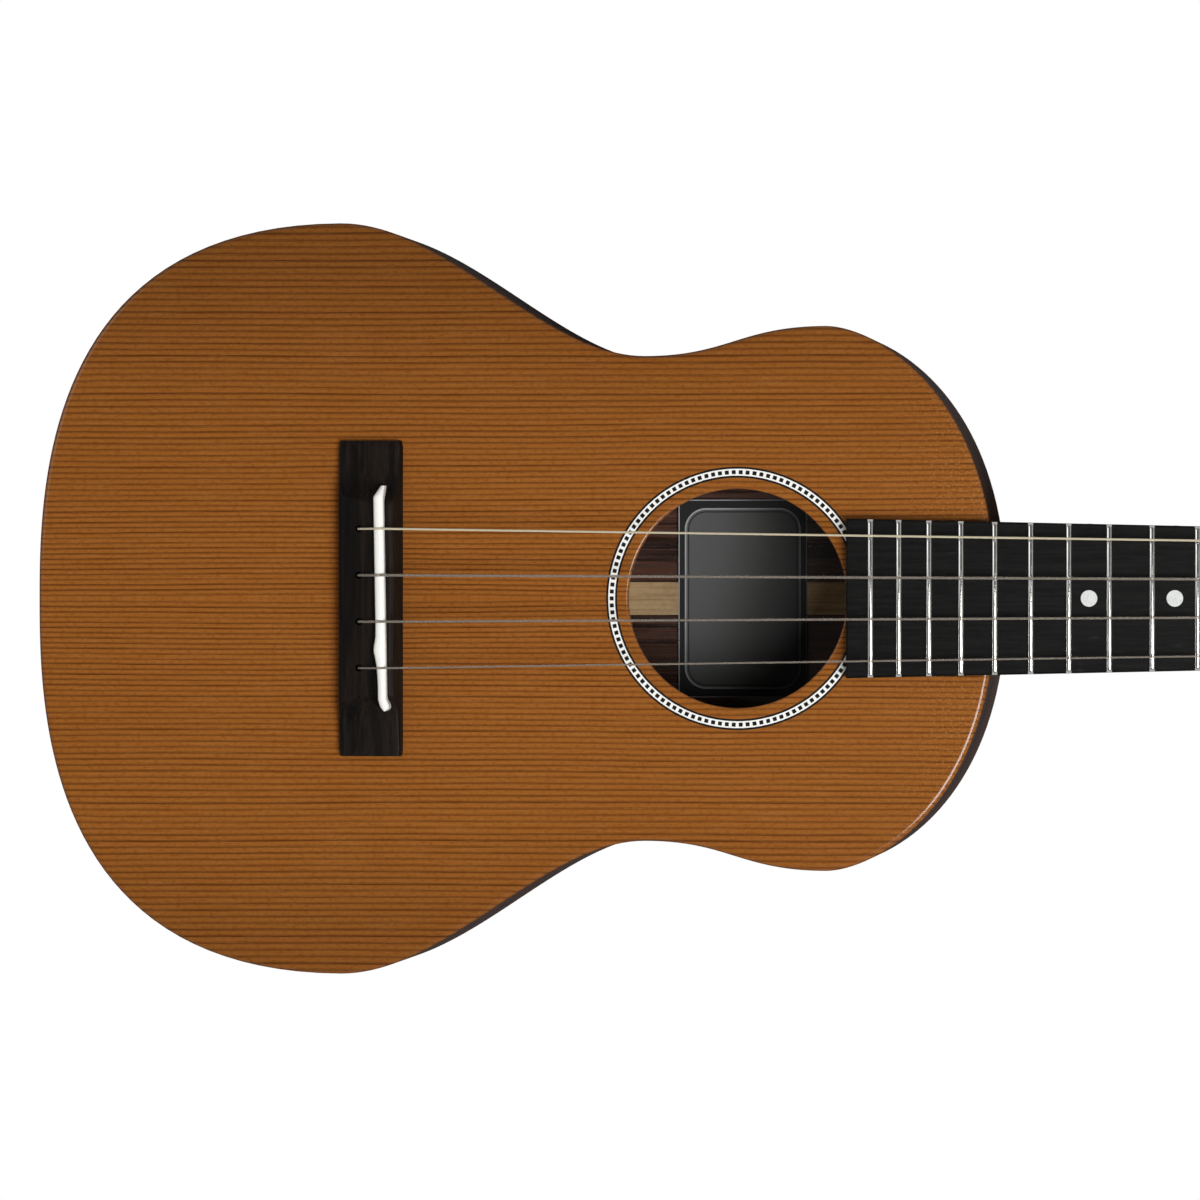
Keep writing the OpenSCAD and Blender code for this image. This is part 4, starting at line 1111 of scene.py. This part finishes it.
def nut_spot(letter):
    return Vector((nut_x + 0.6, string_place[letter] * nut_step, nut_string_z + string_radius[letter]))


def post_spot(letter):
    """Where the string meets its post, on the side towards the centreline."""
    sign = side_of(letter)
    post = head_frame.inverted() @ posts[letter]
    start_y = string_place[letter] * nut_step
    away = Vector((post.x, post.y - start_y))
    reach = post_r + string_radius[letter] + 0.05
    turn = math.atan2(away.y, away.x) - sign * math.asin(reach / away.length)
    far = math.sqrt(away.length**2 - reach**2)
    return head_frame @ Vector((far * math.cos(turn), start_y + far * math.sin(turn), wind_z))


def smoothed(line, radius, steps=5):
    """The corners of a path rounded."""
    out = [line[0]]
    for before, p, after in zip(line, line[1:], line[2:]):
        reach = min(radius, (p - before).length * 0.45, (after - p).length * 0.45)
        a = p + (before - p).normalized() * reach
        b = p + (after - p).normalized() * reach
        out += [a * (1 - t) ** 2 + p * 2 * t * (1 - t) + b * t * t for t in (k / steps for k in range(steps + 1))]
    return out + [line[-1]]


def string(letter):
    """From the knot under the bridge plate, through the bridge, over saddle and nut, to the post."""
    material, slot = nylon(letter)
    radius = string_radius[letter]
    y = string_place[letter] * string_step
    x = saddle_x - y * math.tan(saddle_slant)
    bridge_top = bridge_high.z
    knot = inside_z - 2.0
    line = [
        Vector((hole_x, y, knot - 2.6)),
        Vector((hole_x, y, bridge_top - 0.2)),
        Vector((hole_x + 0.7, y, bridge_top + 0.5)),
        Vector((x - 0.6, y, crown_z + radius - 0.14)),
        Vector((x + 0.5, y, crown_z + radius)),
        nut_spot(letter),
        post_spot(letter),
    ]
    tube = run_tube("string_" + letter + "_run", smoothed(line, 1.2), radius, material)
    bead = turned([(0.0, -0.55), (0.9, -0.4), (1.35, 0.0), (0.9, 0.4), (0.0, 0.55)], 16)
    knots = []
    for k in range(3):
        lean = Matrix.Rotation(0.5 * (k - 1), 4, "X") @ Matrix.Rotation(0.3, 4, "Y")
        knots.append(moved(bead, Matrix.Translation((hole_x, y, knot - 0.7 - 0.7 * k)) @ lean))
    carved(tube, joined(*knots), "UNION")
    piece("string_" + letter + "_run", tube, material, "string_" + letter)


def winding(letter):
    """Three turns up the post, then through its hole to a short cut end."""
    material, slot = nylon(letter)
    radius = string_radius[letter]
    at = post_frame(letter)
    start = at.inverted() @ post_spot(letter)
    begin = math.atan2(start.y, start.x)
    reach = post_r + radius + 0.02
    turns = 3.25
    steps = 90
    line = []
    for i in range(steps + 1):
        a = begin + math.tau * turns * i / steps
        climb = wind_z + 2.04 * radius * turns * i / steps
        line.append(Vector((reach * math.cos(a), reach * math.sin(a), climb)))
    last = line[-1]
    into = Vector((last.x, last.y, 0)).normalized()
    for away, up in ((post_r + 0.9, -0.6), (post_r + 0.1, 0.0), (-post_r - 0.3, 0.0), (-post_r - 2.6, 0.7)):
        line.append(into * away + Vector((0, 0, post_hole_z + up)))
    tube = run_tube("winding_" + letter, [at @ p for p in line], radius, material, 12)
    piece("winding_" + letter, tube, material, "string_coil_" + letter, "post_" + letter)


# ---- The tuners ----

worm_pitch, gear_teeth = 2.4, 14
gear_r = gear_teeth * worm_pitch / math.tau
plate_t = 1.2
plate_back = -head_t - plate_t
worm_out, worm_root, shaft_r = 3.3, 2.1, 1.5
worm_z = plate_back - worm_out - 0.3
worm_set = gear_r + 2.75
worm_half = 1.65 * worm_pitch
ear_t, ear_r, ear_gap = 1.5, 2.8, 0.35
screw_ends = (9.8, -15.6)
gear_t = 3.0


def tuner_plate():
    """A stamped plate with two ears that hold the worm."""
    base = slab(rounded_line(16.6, 6.6, 3.0), plate_back, -head_t, 0.15, 0.3, 3)
    parts = [moved(base, Matrix.Translation((-3.0, 0, 0)))]
    turn = [math.pi * (k / 16 - 0.5) for k in range(17)]
    line = [Vector((ear_r * math.sin(a), -ear_r * math.cos(a))) for a in turn]
    line += [Vector((x, plate_back - worm_z + 0.3)) for x in (ear_r, -ear_r)]
    ear = slab(line, 0.0, ear_t, 0.2, 0.2, 2)
    for y0 in (-worm_half - ear_gap - ear_t, worm_half + ear_gap):
        upright = Matrix.Translation((-worm_set, y0 + ear_t, worm_z)) @ Matrix.Rotation(math.pi / 2, 4, "X")
        parts.append(moved(ear, upright))
    return parts


def bushing():
    """A flanged sleeve with a rounded rim."""
    z = veneer_t
    profile = [(3.05, z - 8), (sleeve_r, z - 8), (sleeve_r, z)]
    profile += [(5.5, z), (5.6, z + 0.15), (5.55, z + 0.5), (5.2, z + 0.85)]
    profile += [(4.3, z + 1.1), (3.5, z + collar_h), (3.15, z + collar_h - 0.1), (3.05, z + collar_h - 0.25)]
    return loft([at_height(circle(r, 48), h) for r, h in profile], loop=True)


def screw():
    """A small pan-head wood screw with a cross recess. Its head points down."""
    rings = []
    count = 48
    head = [(0.02, 1.4), (0.5, 1.38), (1.0, 1.3), (1.4, 1.18), (1.8, 0.98), (2.15, 0.65), (2.35, 0.3), (2.4, 0.0)]
    for r, h in head:
        ring = []
        for x, y in circle(r, count):
            arm = min(abs(x), abs(y))
            deep = max(0.0, 1 - (arm / 0.34) ** 4) * max(0.0, min(1.0, (1.75 - r) * 3))
            ring.append((x, y, -h + 0.55 * deep))
        rings.append(ring)
    rings += [at_height(circle(r, count), z) for r, z in ((1.2, 0.0), (1.2, 7.5), (0.1, 9.0))]
    return loft(rings)


def worm(letter):
    """A shaft with one thread turned on it."""
    reach = worm_half + ear_gap + ear_t + 0.8
    line = [(0.0, -reach), (shaft_r - 0.3, -reach), (shaft_r, -reach + 0.3), (shaft_r, -worm_half)]
    line += [(worm_root, -worm_half), (worm_root, worm_half), (shaft_r, worm_half), (shaft_r, 23.0), (0.0, 23.0)]
    shaft = turned(line, 32)
    rings = []
    steps, turns = 32, 3.0
    for i in range(int(steps * turns) + 1):
        turn = i / steps - turns / 2
        a = math.tau * turn
        fade = min(1.0, 4 * (turns / 2 - abs(turn)) + 0.1)
        rise = worm_root + (worm_out - worm_root) * fade
        section = [(worm_root - 0.2, -0.5), (rise - 0.12, -0.24), (rise, -0.14), (rise, 0.14), (rise - 0.12, 0.24)]
        section += [(worm_root - 0.2, 0.5)]
        rings.append([(r * math.cos(a), r * math.sin(a), worm_pitch * turn + w * worm_pitch) for r, w in section])
    turned_worm = raw("worm_shaft_" + letter, moved(shaft, worm_frame(letter)), nickel)
    carved(turned_worm, moved(loft(rings), worm_frame(letter)), "UNION")
    piece("worm_shaft_" + letter, turned_worm, nickel, "worm_" + letter, "key_" + letter)


def button(letter):
    """A moulded oval button with a soft edge, dished on both faces, over a short collar."""
    start, length, width, thick = 16.5, 14.5, 17.0, 6.5
    middle = start + length / 2
    outer = []
    for a in (math.tau * k / 64 for k in range(64)):
        outer.append((width / 2 * squarish(math.cos(a), 0.75), length / 2 * squarish(math.sin(a), 0.75)))
    half = [(0.0, 1.0), (0.55, 1.0), (0.72, 0.97), (0.84, 0.88), (0.93, 0.68), (0.98, 0.4), (1.0, 0.0)]
    rings = []
    for share, up in half + [(share, -up) for share, up in reversed(half[:-1])]:
        dish = 0.35 * max(0.0, 1 - (share / 0.6) ** 2)
        height = math.copysign(1, up) * (abs(up) * thick / 2 - dish)
        reach = max(share, 1e-4)
        rings.append([(reach * x, height, middle + reach * y) for x, y in outer])
    collar = turned([(0.0, 14.5), (2.6, 14.5), (3.0, 14.9), (3.0, 16.6), (3.4, 17.6), (0.0, 19.0)], 32)
    knob = raw("button_knob_" + letter, moved(loft(rings), worm_frame(letter)), button_pearl)
    carved(knob, moved(collar, worm_frame(letter)), "UNION")
    piece("button_knob_" + letter, knob, button_pearl, "button_" + letter, "key_" + letter)


def post(letter):
    """The string post: waisted where the string winds, domed on top, with a collar above its gear."""
    base = worm_z + gear_t / 2
    top = veneer_t + 11
    profile = [(0.0, base - gear_t - 0.6), (1.3, base - gear_t - 0.55), (2.0, base - gear_t - 0.1), (2.0, base)]
    profile += [(3.8, base), (3.8, plate_back - 0.1), (post_r, plate_back - 0.1)]
    profile += [(post_r, veneer_t + collar_h + 0.9), (post_r - 0.02, wind_z - 0.5), (post_r, top - 1.1)]
    profile += [(post_r - 0.12, top - 0.6), (post_r - 0.45, top - 0.2), (post_r - 1.1, top - 0.03), (0.0, top)]
    stem = raw("post_stem_" + letter, moved(turned(profile, 48), post_frame(letter)), nickel)
    hole = moved(rod(0.8, -6.0, 6.0, 24), Matrix.Rotation(math.pi / 2, 4, "Y"))
    at = post_frame(letter)
    last = math.tau * 0.25 + math.atan2(*((at.inverted() @ post_spot(letter)).yx))
    aim = Matrix.Translation((0, 0, post_hole_z)) @ Matrix.Rotation(last, 4, "Z")
    carved(stem, moved(hole, at @ aim))
    piece("post_stem_" + letter, stem, nickel, "string_post_" + letter, "post_" + letter)


def gear(letter):
    """A cut brass gear with relieved tooth tips."""
    root, tip = gear_r - 0.75, gear_r + 0.5
    line = []
    crest = 0.13 * worm_pitch
    flank = [(root, 0.26 * worm_pitch), (gear_r, 0.18 * worm_pitch), (tip - 0.12, crest), (tip, crest - 0.14)]
    for i in range(gear_teeth):
        centre = math.pi + (i + 0.5) * math.tau / gear_teeth
        line += [(r, centre - w / r) for r, w in flank] + [(r, centre + w / r) for r, w in reversed(flank)]
    flat = [arc(r, a) for r, a in line]
    z0, z1 = worm_z - gear_t / 2, worm_z + gear_t / 2
    bore = [2.0 * p.normalized() for p in flat]
    rings = [at_height(bore, z0), at_height([p * 0.97 for p in flat], z0), at_height(flat, z0 + 0.2)]
    rings += [at_height(flat, z1 - 0.2), at_height([p * 0.97 for p in flat], z1), at_height(bore, z1)]
    wheel = moved(loft(rings, loop=True), post_frame(letter))
    piece("gear_wheel_" + letter, wheel, brass, "gear_" + letter, "post_" + letter)


def tuners():
    frames = {letter: post_frame(letter) for letter in STRINGS}
    base, *ears = tuner_plate()
    plates = raw("tuner_plate_set", joined(*(moved(base, at) for at in frames.values())), nickel)
    carved(plates, joined(*(moved(ear, at) for at in frames.values() for ear in ears)), "UNION")
    drills = []
    for letter, at in frames.items():
        drills.append(moved(rod(post_r + 0.05, -30.0, 0.0, 40), at))
        drills.append(moved(rod(shaft_r + 0.05, -9.0, 9.0, 32), worm_frame(letter)))
    carved(plates, joined(*drills))
    piece("tuner_plate_set", plates, nickel, "tuner_plates")
    spots = [head_frame.inverted() @ posts[letter] for letter in STRINGS]
    places = [head_frame @ Matrix.Translation(p + Vector((x, 0, plate_back))) for p in spots for x in screw_ends]
    screws = repeated("tuner_screws", screw(), places, nickel)
    piece("tuner_screws", screws, nickel, "plate_screws")
    sleeves = repeated("post_bushings", bushing(), [head_frame @ Matrix.Translation(p) for p in spots], nickel)
    piece("post_bushings", sleeves, nickel, "tuner_bushings")
    for letter in STRINGS:
        worm(letter)
        button(letter)
        post(letter)
        gear(letter)


# ---- Inside the body ----


def kerfed_linings():
    """A row of small blocks along the sides, at the top and at the back."""
    low, high = span("top_linings")
    tall = high.z - low.z
    block_x = span("neck_block")[0].x
    tail_block_x = span("tail_block")[1].x
    profile = [(0.0, 0.0), (4.9, 0.0), (4.9, 0.35 * tall), (1.4, 0.97 * tall), (0.0, tall)]
    beside_blocks = 31
    line = [p for p in body_half(side_t) if tail_block_x < p.x < block_x or abs(p.y) > beside_blocks]
    edges = [(i, i + 1) for i in range(2 * len(line) - 1) if i != len(line) - 1]
    for name, foot, flip in (("top_linings", inside_z, -1), ("back_linings", back_top, 1)):
        rings = [[(w, -depth, flip * h) for depth, h in profile] for w in (-1.35, 1.35)]
        stamp = raw("kerf_block", loft(rings))
        path = [(p.x, p.y, foot) for p in line] + [(p.x, -p.y, foot) for p in reversed(line)]
        obj = drawn(name + "_row", path, edges)
        row = Pattern(name + "_row", Block=stamp, Pitch=0.0034)
        curve = row.add("GeometryNodeMeshToCurve", {0: row.size("Geometry")}).outputs[0]
        spots = row.add("GeometryNodeCurveToPoints", {"Curve": curve, "Length": row.size("Pitch")}, mode="LENGTH")
        ends = {"Vector": spots.outputs["Tangent"]}
        way = row.add("FunctionNodeAlignRotationToVector", ends, axis="X", pivot_axis="Z").outputs[0]
        row.grow(obj, row.copies(spots.outputs[0], row.part("Block"), Rotation=way), block_wood)
        bpy.data.objects.remove(stamp)
        piece(name + "_row", obj, block_wood, name)


def label_sheet():
    sheet = slab(rounded_line(label_half.x, label_half.y, 0.8, 4), 0.0, 0.2, 0.03, 0.03, 1)
    at = Matrix.Translation((label_mid.x, label_mid.y, label_low.z))
    piece("label_sheet", moved(sheet, at), paper, "label")


def plain_insides():
    """Pieces whose CAD shape is right keep it and get their finish."""
    finishes = {
        "neck_block": block_wood,
        "tail_block": block_wood,
        "back_seam_strip": strip_wood,
        "transverse_braces": brace_wood,
        "soundhole_patch": brace_wood,
        "fan_braces": brace_wood,
        "bridge_plate": brace_wood,
        "back_braces": brace_wood,
        "neck_rod": carbon,
        "neck_bolts": bolt_steel,
        "neck_washers": bolt_steel,
        "neck_inserts": brass,
    }
    for node, material in finishes.items():
        data = frame["nodes"][node].data
        data.materials.clear()
        data.materials.append(material)


# ---- The stage ----


def view_from_above():
    """A long lens, nearly overhead, leaning a little towards the headstock."""
    aim = Vector((-44.2, -0.5, top_z)) * MM
    lean, away, seen_across = math.radians(6.0), 2.5, 0.3851
    backward = Vector((math.sin(lean), 0, math.cos(lean)))
    right = Vector((math.cos(lean), 0, -math.sin(lean)))
    lens = bpy.data.cameras.new("overhead")
    lens.sensor_width = 36.0
    lens.lens = lens.sensor_width * away / seen_across
    camera = linked("overhead", lens)
    turn = Matrix((right, Vector((0, 1, 0)), backward)).transposed()
    camera.matrix_world = Matrix.Translation(aim + backward * away) @ turn.to_4x4()
    bpy.context.scene.camera = camera


def floor():
    """A bench that looks pure white but throws back only as much light as a dark grey one."""
    paint = Finish("studio_floor", Roughness=0.9, Specular_IOR_Level=0.0, Emission_Color=(1, 1, 1, 1))
    seen = paint.tree.nodes.new("ShaderNodeLightPath").outputs["Is Camera Ray"]
    paint.tree.links.new(seen, paint.shader.inputs["Emission Strength"])
    paint.paint(paint.mix(seen, (0.06, 0.06, 0.06), (0.0, 0.0, 0.0)))
    sheet = raw("studio_floor", ([(-9e3, -9e3, 0), (9e3, -9e3, 0), (9e3, 9e3, 0), (-9e3, 9e3, 0)], [(0, 1, 2, 3)]))
    sheet.data.materials.append(paint.material)
    sheet.location.z = -0.0002


def softbox(name, place, aim, wide, tall, power):
    lamp = bpy.data.lights.new(name, "AREA")
    lamp.shape = "RECTANGLE"
    lamp.size, lamp.size_y = wide, tall
    lamp.energy = power
    box = linked(name, lamp)
    box.location = place
    box.rotation_mode = "QUATERNION"
    box.rotation_quaternion = (Vector(aim) - Vector(place)).to_track_quat("-Z", "Y")


def studio():
    """A white room that is dark overhead, with softboxes on both sides of the bench."""
    bpy.context.scene.view_settings.view_transform = "Standard"
    world = bpy.data.worlds.new("studio")
    bpy.context.scene.world = world
    world.use_nodes = True
    tree = world.node_tree
    sky = tree.nodes["Background"]
    way = tree.nodes.new("ShaderNodeTexCoord").outputs["Generated"]
    height = tree.nodes.new("ShaderNodeSeparateXYZ")
    tree.links.new(way, height.inputs[0])
    shade_of = tree.nodes.new("ShaderNodeValToRGB")
    tree.links.new(height.outputs["Z"], shade_of.inputs[0])
    low, high = shade_of.color_ramp.elements
    low.position, low.color = 0.05, (0.62, 0.62, 0.62, 1)
    high.position, high.color = 0.8, (0.055, 0.055, 0.055, 1)
    backdrop = tree.nodes.new("ShaderNodeMixRGB")
    tree.links.new(tree.nodes.new("ShaderNodeLightPath").outputs["Is Camera Ray"], backdrop.inputs[0])
    tree.links.new(shade_of.outputs[0], backdrop.inputs[1])
    backdrop.inputs[2].default_value = (1, 1, 1, 1)
    tree.links.new(backdrop.outputs[0], sky.inputs[0])
    softbox("right", (0.95, -0.55, 1.9), (0, 0, 0), 0.8, 1.3, 47)
    softbox("left", (-1.45, 0.55, 1.5), (0, 0, 0), 0.9, 1.4, 6)


soundboard()
back()
sides()
rosette()
bridge()
saddle()
fretboard()
fret_row()
dots()
neck()
nut()
for letter in STRINGS:
    string(letter)
    winding(letter)
tuners()
kerfed_linings()
label_sheet()
plain_insides()
floor()
studio()
view_from_above()
